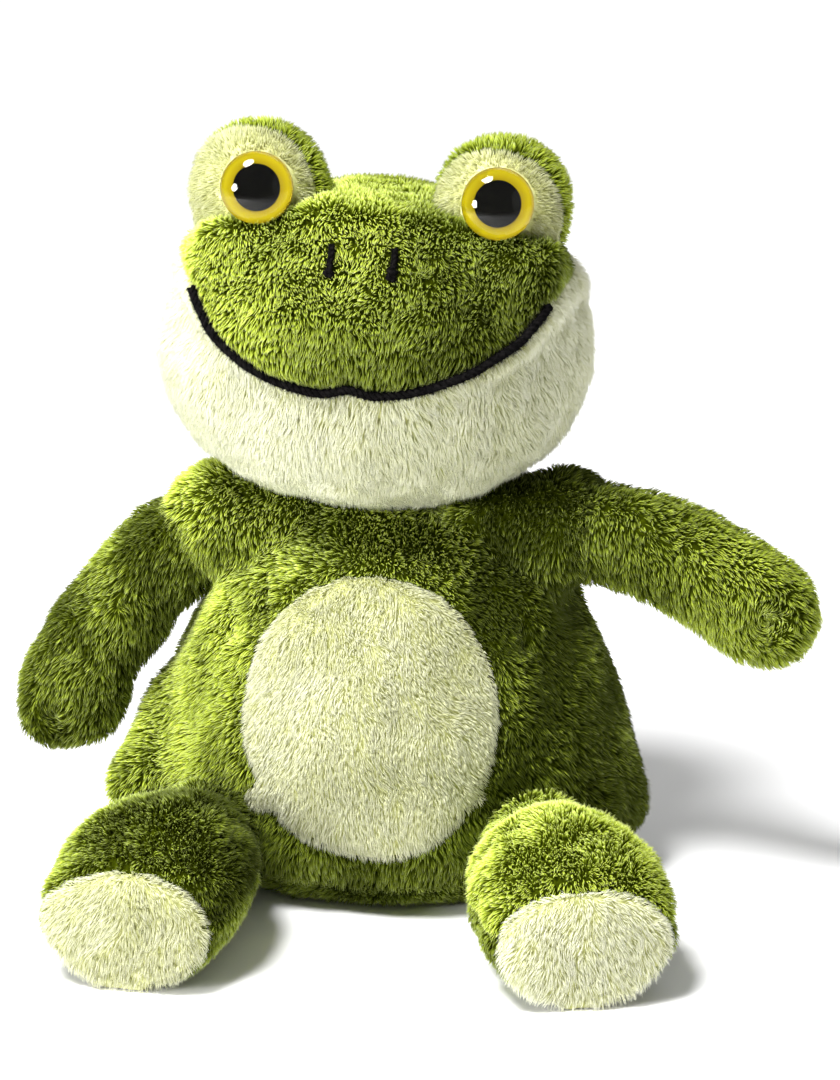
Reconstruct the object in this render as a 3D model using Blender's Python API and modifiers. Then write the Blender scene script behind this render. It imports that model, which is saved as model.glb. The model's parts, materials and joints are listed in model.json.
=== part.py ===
"""A stuffed plush frog that sits on its seat with both legs stretched forward.

The frog faces -Y and +Z is up. The origin is the middle of the flat seat, on the floor.
Left and right are the frog's own, so the left side is +X. All sizes are in metres.
Each part of the toy is a soft form: panels of pile fabric over a filling, sewn along
seam planes. The head and the limbs turn in their seams about a point inside the seam.
"""

import math

import bmesh
import bpy
from mathutils import Matrix, Vector
from mathutils.bvhtree import BVHTree

# Fabric, seams and gaps
CLEARANCE = 0.0003
FABRIC = 0.0020
SEAM_GAP = 0.0004
SEAM_BAND = 0.0007
FLOOR_CUT = 0.0005
OVERRUN = 0.0100

# Torso
TORSO_HEIGHT = 0.0620
TORSO_WIDTH = 0.0900
TORSO_FRONT = 0.0370
TORSO_BACK = 0.0350
SIDE_SEAM_Y = 0.0030
SEAT_PANEL_HEIGHT = 0.0050
GUSSET_HEIGHT = 0.0200
PELLET_HEIGHT = 0.0280
BELLY_WIDTH = 0.0450
BELLY_HEIGHT = 0.0480
BELLY_BOTTOM = 0.0110
TORSO_RING_SHARES = (
    (0.00, 0.66, 0.62, 0.62),
    (0.05, 0.86, 0.82, 0.84),
    (0.18, 1.00, 0.96, 1.00),
    (0.34, 0.96, 1.00, 1.00),
    (0.53, 0.88, 0.99, 0.95),
    (0.72, 0.79, 0.90, 0.84),
    (0.88, 0.67, 0.76, 0.70),
    (0.97, 0.53, 0.60, 0.55),
)

# Neck
NECK_RADIUS = 0.0160
NECK_X = -0.0052
NECK_Z = 0.0560
NECK_RIM_ANGLE = math.radians(62)
NECK_BAND_ANGLES = (math.radians(20), math.radians(50))

# Head, in a frame whose origin is the neck's turning point
HEAD_YAW = math.radians(4.5)
HEAD_ROLL = math.radians(3.4)
HEAD_SEAM_Y = 0.0060
CROWN_WIDTH = 0.0735
CROWN_DEPTH = 0.0660
CROWN_HEIGHT = 0.0372
CROWN_Y = -0.0030
CROWN_Z = 0.0430
CROWN_TILT = math.radians(4)
CROWN_BOXINESS = 2.5
JAW_WIDTH = 0.0752
JAW_DEPTH = 0.0660
JAW_HEIGHT = 0.0535
JAW_Y = -0.0010
JAW_Z = 0.0374
JAW_TILT = math.radians(14)
JAW_BOXINESS = 2.15

# Mouth: the panels part along a slope that climbs in front and falls a little at the cheeks
MOUTH_Z = 0.0346
MOUTH_FRONT_Y = -0.0340
MOUTH_CORNER_Y = -0.0195
MOUTH_SLOPE = math.radians(50)
CHEEK_SLOPE = math.radians(-9)
MOUTH_SWEEP = math.radians(52.5)
CORD_DIAMETER = 0.0015
CORD_POINTS = 22
REACH_HALVINGS = 30

# Nostrils
NOSTRIL_SPACING = 0.0103
NOSTRIL_OFFSET = -0.0014
NOSTRIL_Z = 0.0558
NOSTRIL_LENGTH = 0.0037
NOSTRIL_LEAN = math.radians(9)
THREAD_DIAMETER = 0.0011
THREAD_POINTS = 5

# Eyes
MOUND_SPACING = 0.0408
MOUND_WIDTH = 0.0248
MOUND_DEPTH = 0.0220
MOUND_HEIGHT = 0.0250
MOUND_Y = -0.0110
MOUND_Z = 0.0640
MOUND_BOXINESS = 2.2
PATCH_SEAM_Y = -0.0130
PATCH_TURN = {"left": math.radians(-12), "right": math.radians(-18)}
PATCH_DROP = {"left": math.radians(16), "right": math.radians(3)}
EYE_INSET = 0.0011
EYE_RISE = 0.0022
EYE_PITCH = math.radians(12)
EYE_DIAMETER = 0.0120
EYE_DOME_HEIGHT = 0.0036
EYE_RIM = 0.0006
EYE_SEAT_DEPTH = 0.0013
IRIS_THICKNESS = 0.0010
PUPIL_DIAMETER = 0.0077
PUPIL_THICKNESS = 0.0004
POST_DIAMETER = 0.0030
POST_LENGTH = 0.0075
WASHER_DIAMETER = 0.0090
WASHER_THICKNESS = 0.0008
WASHER_REACH = 0.0046

# Arms, each in a frame whose origin is the shoulder's turning point
SHOULDER_SPACING = 0.0576
SHOULDER_Y = -0.0040
SHOULDER_Z = 0.0620
ARM_ROOT_RADIUS = 0.0085
ARM_LENGTH = 0.0500
RIGHT_ARM_STRETCH = 0.0035
ARM_THICKNESS = 0.0200
ARM_DEPTH = 0.0175
ARM_BEND = math.radians(54)
ARM_FORWARD = math.radians(10)
ARM_DROOP = {"left": math.radians(-3), "right": math.radians(28)}
ARM_RING_SHARES = (
    (0.12, 0.95, 0.98),
    (0.28, 0.99, 1.00),
    (0.50, 1.02, 1.02),
    (0.72, 1.06, 1.04),
    (0.86, 1.00, 0.94),
    (0.95, 0.68, 0.62),
)

# Legs, each in a frame whose origin is the hip's turning point
HIP_SPACING = 0.0560
HIP_Y = -0.0260
HIP_Z = 0.0120
LEG_ROOT_RADIUS = 0.0105
LEG_LENGTH = 0.0465
LEG_WIDTH = 0.0340
LEG_HEIGHT = 0.0270
SOLE_WIDTH = 0.0310
SOLE_HEIGHT = 0.0208
SOLE_DEPTH = 0.0030
LEG_SEAM_HEIGHT = 0.0125
PELLET_REACH_SHARE = 0.58
LEG_SPLAY = {"left": math.radians(16), "right": math.radians(8)}
LEG_RING_SHARES = (
    (0.20, 0.70, 0.86),
    (0.40, 0.90, 0.97),
    (0.62, 1.00, 1.00),
    (0.80, 0.99, 0.90),
    (0.92, 0.94, 0.80),
)
SOLE_RING_SHARES = ((0.97, 0.97, 0.97), (1.00, 0.78, 0.80))

# Range of each joint, from the resting pose, in degrees
ARM_SWING = (-20, 20)
ARM_RAISE = {"left": (-26, 12), "right": (0, 38)}
LEG_SPREAD = (-4, 12)
LEG_RAISE = (-12, 24)
SWEEP_STEPS = 3
ARM_BAND_ANGLES = (math.radians(12), math.radians(32))
LEG_BAND_ANGLES = (math.radians(18), math.radians(50))
ARM_SOCKET_REACH_SHARE = 3.3
LEG_SOCKET_REACH_SHARE = 1.8
SOCKET_SPARE_SHARE = 1.04

# Faces round each form
TORSO_SEGMENTS = 24
HEAD_SEGMENTS = 26
MOUND_SEGMENTS = 16
LIMB_SEGMENTS = 14
INNER_SEGMENTS = 12
LIMB_INNER_SEGMENTS = 8
EYE_SEGMENTS = 16
BAND_SEGMENTS = 20
BAND_STEPS = 2
SOCKET_SEGMENTS = 16
SWEEP_SEGMENTS = 10
ROOT_RINGS = 4
DOME_RINGS = 4
LENS_POINTS = 7
FLAT_ANGLE = math.radians(4)

GREEN = (0.20, 0.36, 0.04)
CREAM = (0.78, 0.80, 0.55)
BLACK = (0.012, 0.012, 0.012)
WHITE = (0.85, 0.85, 0.82)
YELLOW = (0.85, 0.62, 0.02)
CLEAR = (0.90, 0.92, 0.95)
GREY = (0.45, 0.45, 0.47)
FINISHES = {
    "green": (GREEN, 0.9),
    "cream": (CREAM, 0.9),
    "black_yarn": (BLACK, 0.8),
    "filling": (WHITE, 0.95),
    "pellets": (GREY, 0.5),
    "seam": (GREEN, 0.85),
    "lens": (CLEAR, 0.05),
    "iris": (YELLOW, 0.25),
    "pupil": (BLACK, 0.2),
    "washer": (WHITE, 0.4),
}
SIDES = {"left": 1, "right": -1}


def clear_scene():
    for obj in list(bpy.data.objects):
        bpy.data.objects.remove(obj)


def new_collection(name, hidden=False):
    collection = bpy.data.collections.new(name)
    collection.hide_render = hidden
    bpy.context.scene.collection.children.link(collection)
    return collection


def object_of(name, data, collection, parent=None):
    if isinstance(data, bmesh.types.BMesh):
        bm = data
        data = bpy.data.meshes.new(name)
        bm.to_mesh(data)
        bm.free()
    obj = bpy.data.objects.new(name, data)
    obj.parent = parent
    collection.objects.link(obj)
    return obj


def as_cutter(obj):
    obj.hide_render = True
    obj.display_type = "WIRE"
    return obj


def boolean(obj, operation, *others):
    for other in others:
        modifier = obj.modifiers.new(f"{operation.lower()}_{other.name}", "BOOLEAN")
        modifier.operation = operation
        modifier.object = other
        modifier.solver = "EXACT"
    return obj


def finish(obj, finish_name):
    colour, roughness = FINISHES[finish_name]
    material = bpy.data.materials.new(f"{obj.name}_material")
    material.use_nodes = True
    shader = material.node_tree.nodes["Principled BSDF"]
    shader.inputs["Base Color"].default_value = (*colour, 1)
    shader.inputs["Roughness"].default_value = roughness
    shader.inputs["Metallic"].default_value = 0
    obj.data.materials.append(material)
    if obj.type == "MESH":
        obj.data.shade_smooth()
    return obj


def frame(name, location, rotation, collection):
    empty = bpy.data.objects.new(name, None)
    empty.location = location
    empty.rotation_euler = rotation
    collection.objects.link(empty)
    return empty


def solid_mesh(bm):
    bmesh.ops.recalc_face_normals(bm, faces=bm.faces)
    bmesh.ops.triangulate(bm, faces=bm.faces)
    return bm


def loft(rings, poles, segments):
    """A closed form through rings of a centre, a half to the side, one ahead and one behind."""
    bm = bmesh.new()
    loops = []
    for centre, side, ahead, behind in rings:
        loop = []
        for k in range(segments):
            angle = 2 * math.pi * k / segments
            across = ahead if math.sin(angle) > 0 else behind
            point = centre + side * math.cos(angle) + across * abs(math.sin(angle))
            loop.append(bm.verts.new(point))
        loops.append(loop)
    for near, far in zip(loops, loops[1:]):
        for k in range(segments):
            following = (k + 1) % segments
            bm.faces.new((near[k], near[following], far[following], far[k]))
    for place, loop in zip(poles, (loops[0], loops[-1])):
        pole = bm.verts.new(place)
        for k in range(segments):
            bm.faces.new((pole, loop[k], loop[(k + 1) % segments]))
    return solid_mesh(bm)


def pillow(centre, halves, boxiness, tilt, segments):
    """A ball squared off a little, stretched to its half sizes, with its front tilted down."""
    bm = bmesh.new()
    bmesh.ops.create_uvsphere(bm, u_segments=segments, v_segments=segments // 2, radius=1)
    turn = Matrix.Rotation(tilt, 3, "X")
    for vert in bm.verts:
        way = vert.co.normalized()
        reach = sum(abs(part) ** boxiness for part in way) ** (-1 / boxiness)
        stretched = Vector([reach * part * half for part, half in zip(way, halves)])
        vert.co = centre + turn @ stretched
    return solid_mesh(bm)


def box(low, high):
    bm = bmesh.new()
    bmesh.ops.create_cube(bm, size=1)
    for vert in bm.verts:
        vert.co = [b if part > 0 else a for part, a, b in zip(vert.co, low, high)]
    return solid_mesh(bm)


def mesh_of_curve(curve_object, collection):
    """The curve as a closed mesh object in its place, with its caps welded on."""
    bpy.context.view_layer.update()
    graph = bpy.context.evaluated_depsgraph_get()
    mesh = bpy.data.meshes.new_from_object(curve_object.evaluated_get(graph))
    bm = bmesh.new()
    bm.from_mesh(mesh)
    bmesh.ops.remove_doubles(bm, verts=bm.verts, dist=CLEARANCE / 10)
    bmesh.ops.recalc_face_normals(bm, faces=bm.faces)
    bm.to_mesh(mesh)
    bm.free()
    name = curve_object.name
    matrix = curve_object.matrix_world.copy()
    parent = curve_object.parent
    bpy.data.objects.remove(curve_object)
    obj = object_of(name, mesh, collection, parent)
    obj.matrix_world = matrix
    return obj


def tube(name, points, radius, collection, parent):
    curve = bpy.data.curves.new(name, "CURVE")
    curve.dimensions = "3D"
    curve.bevel_depth = radius
    curve.bevel_resolution = 1
    curve.use_fill_caps = True
    spline = curve.splines.new("POLY")
    spline.points.add(len(points) - 1)
    for point, place in zip(spline.points, points):
        point.co = (*place, 1)
    return mesh_of_curve(object_of(name, curve, collection, parent), collection)


def slab(name, outline, depth, collection, parent):
    """A flat outline of (y, z) points, as thick as depth on both sides of x = 0."""
    curve = bpy.data.curves.new(name, "CURVE")
    curve.dimensions = "2D"
    curve.fill_mode = "BOTH"
    curve.extrude = depth
    spline = curve.splines.new("POLY")
    spline.points.add(len(outline) - 1)
    spline.use_cyclic_u = True
    for point, (y, z) in zip(spline.points, outline):
        point.co = (y, z, 0, 1)
    obj = object_of(name, curve, collection, parent)
    obj.rotation_euler = (math.radians(90), 0, math.radians(90))
    return as_cutter(mesh_of_curve(obj, collection))


def turned(name, profile, steps, collection, parent, closed=False):
    """A profile of (radius, height) points, outer side first from the top, turned about Z."""
    mesh = bpy.data.meshes.new(name)
    edges = [(k, k + 1) for k in range(len(profile) - 1)]
    if closed:
        edges.append((len(profile) - 1, 0))
    mesh.from_pydata([(x, 0, z) for x, z in profile], edges, [])
    obj = object_of(name, mesh, collection, parent)
    screw = obj.modifiers.new("turn", "SCREW")
    screw.angle = 2 * math.pi
    screw.steps = steps
    screw.render_steps = steps
    screw.use_merge_vertices = True
    screw.merge_threshold = CLEARANCE / 10
    return obj


def band_profile(radius, angles):
    """The section of a ring-shaped seam that lies on a ball of this radius."""
    first, last = angles
    inner = radius + SEAM_GAP
    outer = inner + SEAM_BAND
    steps = [first + (last - first) * k / BAND_STEPS for k in range(BAND_STEPS + 1)]
    down = [(outer * math.sin(a), outer * math.cos(a)) for a in steps]
    up = [(inner * math.sin(a), inner * math.cos(a)) for a in reversed(steps)]
    return down + up


def seam_band(name, radius, angles, collection, parent, way):
    """A seam's folded edges, as a band on a ball, whose open middle points along way."""
    band = turned(name, band_profile(radius, angles), BAND_SEGMENTS, collection, parent, True)
    band.rotation_euler = Vector(way).to_track_quat("Z", "Y").to_euler()
    return finish(band, "seam")


def blended(rows):
    """The rows with one more between each two, on a smooth curve through them."""
    out = []
    for k in range(len(rows) - 1):
        a, b = rows[max(k - 1, 0)], rows[k]
        c, d = rows[k + 1], rows[min(k + 2, len(rows) - 1)]
        out.append(b)
        out.append(tuple((9 * (q + r) - p - s) / 16 for p, q, r, s in zip(a, b, c, d)))
    out.append(rows[-1])
    return out


def rows_for(rows, inset):
    """The outside of a form has twice the rings of its inside."""
    return blended(rows) if inset == 0 else rows


def torso_form(inset, segments):
    bottom = inset - FLOOR_CUT
    height = TORSO_HEIGHT - inset - bottom
    rings = []
    for up, wide, front, back in rows_for(TORSO_RING_SHARES, inset):
        side = Vector((wide * TORSO_WIDTH / 2 - inset, 0, 0))
        behind = Vector((0, inset - front * TORSO_FRONT, 0))
        ahead = Vector((0, back * TORSO_BACK - inset, 0))
        rings.append((Vector((0, 0, bottom + up * height)), side, ahead, behind))
    radius = NECK_RADIUS - inset
    pivot = Vector((NECK_X, 0, NECK_Z))
    for k in range(DOME_RINGS):
        angle = NECK_RIM_ANGLE * (1 - k / DOME_RINGS)
        wide = radius * math.sin(angle)
        centre = pivot + Vector((0, 0, radius * math.cos(angle)))
        rings.append((centre, Vector((wide, 0, 0)), Vector((0, wide, 0)), Vector((0, -wide, 0))))
    poles = (Vector((0, 0, bottom)), pivot + Vector((0, 0, radius)))
    return loft(rings, poles, segments)


def crown_form(inset, segments):
    halves = [size / 2 - inset for size in (CROWN_WIDTH, CROWN_DEPTH, CROWN_HEIGHT)]
    return pillow(Vector((0, CROWN_Y, CROWN_Z)), halves, CROWN_BOXINESS, CROWN_TILT, segments)


def jaw_form(inset, segments):
    halves = [size / 2 - inset for size in (JAW_WIDTH, JAW_DEPTH, JAW_HEIGHT)]
    return pillow(Vector((0, JAW_Y, JAW_Z)), halves, JAW_BOXINESS, JAW_TILT, segments)


def mound_form(side, inset, segments):
    halves = [size / 2 - inset for size in (MOUND_WIDTH, MOUND_DEPTH, MOUND_HEIGHT)]
    centre = Vector((side * MOUND_SPACING / 2, MOUND_Y, MOUND_Z))
    return pillow(centre, halves, MOUND_BOXINESS, 0, segments)


def root_rings(radius, out, across, up):
    """Rings of the ball at a limb's root, from its inner pole to its widest place."""
    rings = []
    for k in range(1, ROOT_RINGS + 1):
        angle = math.pi / 2 * k / ROOT_RINGS
        wide = radius * math.sin(angle)
        rings.append((-out * radius * math.cos(angle), across * wide, up * wide, -up * wide))
    return rings


def arm_form(side, inset, segments):
    out = Vector((side, 0, 0))
    across = Vector((0, 1, 0))
    radius = ARM_ROOT_RADIUS - inset
    rings = root_rings(radius, out, across, Vector((0, 0, 1)))
    full = ARM_LENGTH + max(-side, 0) * RIGHT_ARM_STRETCH
    length = full - inset
    bow = full / ARM_BEND
    for along, high, deep in rows_for(ARM_RING_SHARES, inset):
        angle = ARM_BEND * along * length / full
        centre = Vector((side * bow * math.sin(angle), 0, bow * (math.cos(angle) - 1)))
        up = Vector((side * math.sin(angle), 0, math.cos(angle))) * (high * ARM_THICKNESS / 2 - inset)
        rings.append((centre, across * (deep * ARM_DEPTH / 2 - inset), up, -up))
    angle = ARM_BEND * length / full
    tip = Vector((side * bow * math.sin(angle), 0, bow * (math.cos(angle) - 1)))
    return loft(rings, (-out * radius, tip), segments)


def leg_form(side, inset, segments):
    out = Vector((0, -1, 0))
    across = Vector((1, 0, 0))
    up = Vector((0, 0, 1))
    radius = LEG_ROOT_RADIUS - inset
    rings = root_rings(radius, out, across, up)
    floor = inset - FLOOR_CUT - HIP_Z
    length = LEG_LENGTH - inset
    rows = [(s, w * LEG_WIDTH, h * LEG_HEIGHT) for s, w, h in rows_for(LEG_RING_SHARES, inset)]
    rows += [(s, w * SOLE_WIDTH, h * SOLE_HEIGHT) for s, w, h in SOLE_RING_SHARES]
    for along, wide, high in rows:
        half = (high + FLOOR_CUT) / 2 - inset
        centre = out * along * length + up * (floor + half)
        rings.append((centre, across * (wide / 2 - inset), up * half, -up * half))
    tip = rings[-1][0]
    return loft(rings, (-out * radius, tip), segments)


def add_torso(parts, cutters, sockets):
    deep = TORSO_FRONT + TORSO_BACK
    tall = TORSO_HEIGHT + NECK_RADIUS + OVERRUN
    gap = CLEARANCE / 2
    cavity = as_cutter(object_of("torso_cavity", torso_form(FABRIC, INNER_SEGMENTS), cutters))
    seat = {grown: seat_region(grown, cutters) for grown in (-gap, gap)}
    patch = {grown: belly_prism(grown, deep, cutters) for grown in (-gap, gap)}
    regions = {
        "torso_front_panel": ((-TORSO_WIDTH, -deep, 0), (TORSO_WIDTH, SIDE_SEAM_Y - gap, tall)),
        "torso_back_panel": ((-TORSO_WIDTH, SIDE_SEAM_Y + gap, 0), (TORSO_WIDTH, deep, tall)),
        "seat_panel": ((-TORSO_WIDTH, -deep, 0), (TORSO_WIDTH, deep, tall)),
        "belly_patch": ((-TORSO_WIDTH, -deep, 0), (TORSO_WIDTH, -TORSO_FRONT / 2, tall)),
    }
    for name, (low, high) in regions.items():
        region = as_cutter(object_of(f"{name}_region", box(low, high), cutters))
        panel = object_of(name, torso_form(0, TORSO_SEGMENTS), parts)
        boolean(panel, "DIFFERENCE", cavity)
        boolean(panel, "INTERSECT", region)
        if name == "seat_panel":
            boolean(panel, "INTERSECT", seat[-gap])
        elif name != "belly_patch":
            boolean(panel, "DIFFERENCE", seat[gap])
        if name == "belly_patch":
            boolean(panel, "INTERSECT", patch[-gap])
        else:
            boolean(panel, "DIFFERENCE", patch[gap])
        boolean(panel, "DIFFERENCE", *sockets)
        finish(panel, "cream" if name == "belly_patch" else "green")
    fill = FABRIC + CLEARANCE
    halves = {"torso_stuffing": (PELLET_HEIGHT + gap, tall), "pellet_bag": (0, PELLET_HEIGHT - gap)}
    for name, (low, high) in halves.items():
        layer = box((-TORSO_WIDTH, -deep, low), (TORSO_WIDTH, deep, high))
        layer = object_of(f"{name}_layer", layer, cutters)
        filling = object_of(name, torso_form(fill, INNER_SEGMENTS), parts)
        boolean(filling, "INTERSECT", as_cutter(layer))
        boolean(filling, "DIFFERENCE", *sockets)
        finish(filling, "filling" if name == "torso_stuffing" else "pellets")


def seat_region(grown, cutters):
    """Everything under the seat's seam, with a gusset that rises between the hips in front."""
    wide, deep = TORSO_WIDTH, TORSO_FRONT + TORSO_BACK
    label = "kept" if grown < 0 else "cleared"
    base = box((-wide, -deep, -OVERRUN), (wide, deep, SEAT_PANEL_HEIGHT + grown))
    side = HIP_SPACING / 2 + grown
    gusset = box((-side, -deep, -OVERRUN / 2), (side, grown - TORSO_FRONT / 2, GUSSET_HEIGHT + grown))
    gusset = as_cutter(object_of(f"gusset_{label}", gusset, cutters))
    return as_cutter(boolean(object_of(f"seat_{label}", base, cutters), "UNION", gusset))


def belly_prism(grown, depth, cutters):
    """A round bar along Y that cuts the belly patch's outline."""
    bm = bmesh.new()
    bmesh.ops.create_cone(bm, cap_ends=True, segments=TORSO_SEGMENTS, radius1=1, radius2=1, depth=1)
    middle = BELLY_BOTTOM + BELLY_HEIGHT / 2
    for vert in bm.verts:
        x, y, z = vert.co
        front = z > 0
        vert.co = (
            x * (BELLY_WIDTH / 2 + grown),
            -depth if front else 0,
            middle + y * (BELLY_HEIGHT / 2 + grown),
        )
    name = "belly_outline" if grown < 0 else "belly_opening"
    return as_cutter(object_of(name, solid_mesh(bm), cutters))


def parting_height(y):
    """Height of the surface where the upper and lower face panels meet."""
    front = min(y, MOUTH_CORNER_Y) - MOUTH_FRONT_Y
    cheek = max(y - MOUTH_CORNER_Y, 0)
    return MOUTH_Z + front * math.tan(MOUTH_SLOPE) + cheek * math.tan(CHEEK_SLOPE)


def parting_cutter(name, offset, end, cutters, parent):
    """All of the head on one side of the parting surface, in front of the seam and behind it."""
    ahead = -JAW_DEPTH
    ys = (ahead, MOUTH_CORNER_Y, JAW_DEPTH)
    line = [(y, parting_height(y) + offset) for y in ys]
    outline = line + [(ys[-1], end), (ys[0], end)]
    return slab(name, outline, JAW_WIDTH, cutters, parent)


def face_tree(form):
    bm = form(0, HEAD_SEGMENTS)
    tree = BVHTree.FromBMesh(bm)
    bm.free()
    return tree


def mouth_points():
    """The cord's line: in the crease, where the two face panels meet."""
    trees = (face_tree(crown_form), face_tree(jaw_form))
    points = []
    for k in range(CORD_POINTS):
        angle = MOUTH_SWEEP * (2 * k / (CORD_POINTS - 1) - 1)
        low, high = 0.0, JAW_WIDTH
        for _ in range(REACH_HALVINGS):
            reach = (low + high) / 2
            x = reach * math.sin(angle)
            y = JAW_Y - reach * math.cos(angle)
            place = Vector((x, y, parting_height(y)))
            inside = max(depth_inside(tree, place) for tree in trees) > 0
            low, high = (reach, high) if inside else (low, reach)
        points.append(place)
    return points


def depth_inside(tree, place):
    """How deep a place lies under a form's surface, or below zero outside it."""
    nearest, normal, _, _ = tree.find_nearest(place)
    return (nearest - place).dot(normal)


def add_head(parts, cutters, head):
    gap = CLEARANCE / 2
    top = CROWN_Z + MOUND_Z
    above = parting_cutter("above_mouth", gap, top, cutters, head)
    below = parting_cutter("below_mouth", -gap, -JAW_HEIGHT, cutters, head)
    wide, deep = JAW_WIDTH, JAW_DEPTH
    front = box((-wide, -deep, -deep), (wide, HEAD_SEAM_Y - gap, top))
    back = box((-wide, HEAD_SEAM_Y + gap, -deep), (wide, deep, top))
    front = as_cutter(object_of("head_front_region", front, cutters, head))
    back = as_cutter(object_of("head_back_region", back, cutters, head))
    crown_cavity = as_cutter(object_of("crown_cavity", crown_form(FABRIC, INNER_SEGMENTS), cutters, head))
    jaw_cavity = as_cutter(object_of("jaw_cavity", jaw_form(FABRIC, INNER_SEGMENTS), cutters, head))
    bm = bmesh.new()
    rim = NECK_RADIUS + SEAM_BAND + 2 * SEAM_GAP
    bmesh.ops.create_uvsphere(bm, u_segments=BAND_SEGMENTS, v_segments=BAND_SEGMENTS // 2, radius=rim)
    socket = as_cutter(object_of("neck_socket", solid_mesh(bm), cutters, head))
    cord = mouth_points()
    groove = tube("mouth_groove", cord, CORD_DIAMETER / 2 + CLEARANCE, cutters, head)
    as_cutter(groove)

    crown = object_of("crown_panel", crown_form(0, HEAD_SEGMENTS), parts, head)
    boolean(crown, "DIFFERENCE", crown_cavity)
    boolean(crown, "INTERSECT", above, front)
    boolean(crown, "DIFFERENCE", groove)
    finish(crown, "green")
    chin = object_of("chin_panel", jaw_form(0, HEAD_SEGMENTS), parts, head)
    boolean(chin, "DIFFERENCE", jaw_cavity)
    boolean(chin, "INTERSECT", below, front)
    boolean(chin, "DIFFERENCE", socket, groove)
    finish(chin, "cream")
    crown_back = as_cutter(object_of("crown_back", crown_form(0, HEAD_SEGMENTS), cutters, head))
    rear = object_of("head_back_panel", jaw_form(0, HEAD_SEGMENTS), parts, head)
    boolean(rear, "UNION", crown_back)
    boolean(rear, "DIFFERENCE", crown_cavity, jaw_cavity)
    boolean(rear, "INTERSECT", back)
    boolean(rear, "DIFFERENCE", socket)
    finish(rear, "green")

    fill = FABRIC + CLEARANCE
    upper = object_of("upper_filling", crown_form(fill, INNER_SEGMENTS), cutters, head)
    boolean(as_cutter(upper), "INTERSECT", above)
    deeper = fill + CLEARANCE
    crown_fill = object_of("crown_fill", crown_form(deeper, INNER_SEGMENTS), cutters, head)
    core = object_of("core_filling", jaw_form(deeper, INNER_SEGMENTS), cutters, head)
    boolean(as_cutter(core), "INTERSECT", as_cutter(crown_fill))
    stuffing = object_of("head_stuffing", jaw_form(fill, INNER_SEGMENTS), parts, head)
    boolean(stuffing, "INTERSECT", below)
    boolean(stuffing, "UNION", upper, core)
    boolean(stuffing, "DIFFERENCE", socket, groove)
    finish(stuffing, "filling")
    finish(tube("mouth_cord", cord, CORD_DIAMETER / 2, parts, head), "black_yarn")
    add_nostrils(parts, head)


def add_nostrils(parts, head):
    tree = face_tree(crown_form)
    for name, side in SIDES.items():
        points = []
        for k in range(THREAD_POINTS):
            along = k / (THREAD_POINTS - 1) - 0.5
            lean = along * NOSTRIL_LENGTH * math.sin(NOSTRIL_LEAN)
            x = NOSTRIL_OFFSET + side * NOSTRIL_SPACING / 2 + lean
            start = Vector((x, -CROWN_DEPTH, NOSTRIL_Z + along * NOSTRIL_LENGTH))
            hit, normal, _, _ = tree.ray_cast(start, Vector((0, 1, 0)))
            points.append(hit + normal * (THREAD_DIAMETER / 2 + CLEARANCE))
        stitch = tube(f"nostril_stitch_{name}", points, THREAD_DIAMETER / 2, parts, head)
        finish(stitch, "black_yarn")


def disc(radius, low, high, segments):
    """A plain round bar about Z between two heights."""
    bm = bmesh.new()
    bmesh.ops.create_cone(bm, cap_ends=True, segments=segments, radius1=radius, radius2=radius, depth=1)
    for vert in bm.verts:
        vert.co.z = high if vert.co.z > 0 else low
    return solid_mesh(bm)


def eye_frame(side, parts, head):
    """A frame on the eye's own axis, with its origin on the seat that the eye lies in."""
    bm = mound_form(side, 0, MOUND_SEGMENTS * 2)
    tree = BVHTree.FromBMesh(bm)
    bm.free()
    facing = Vector((0, -math.cos(EYE_PITCH), math.sin(EYE_PITCH)))
    middle = Vector((side * (MOUND_SPACING - EYE_INSET) / 2, MOUND_Y, MOUND_Z + EYE_RISE))
    hit, _, _, _ = tree.ray_cast(middle, Vector((0, -1, 0)))
    label = "left" if side > 0 else "right"
    rotation = (math.radians(90) - EYE_PITCH, 0, 0)
    empty = frame(f"eye_frame_{label}", hit - facing * EYE_SEAT_DEPTH, rotation, parts)
    empty.parent = head
    return empty


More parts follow.
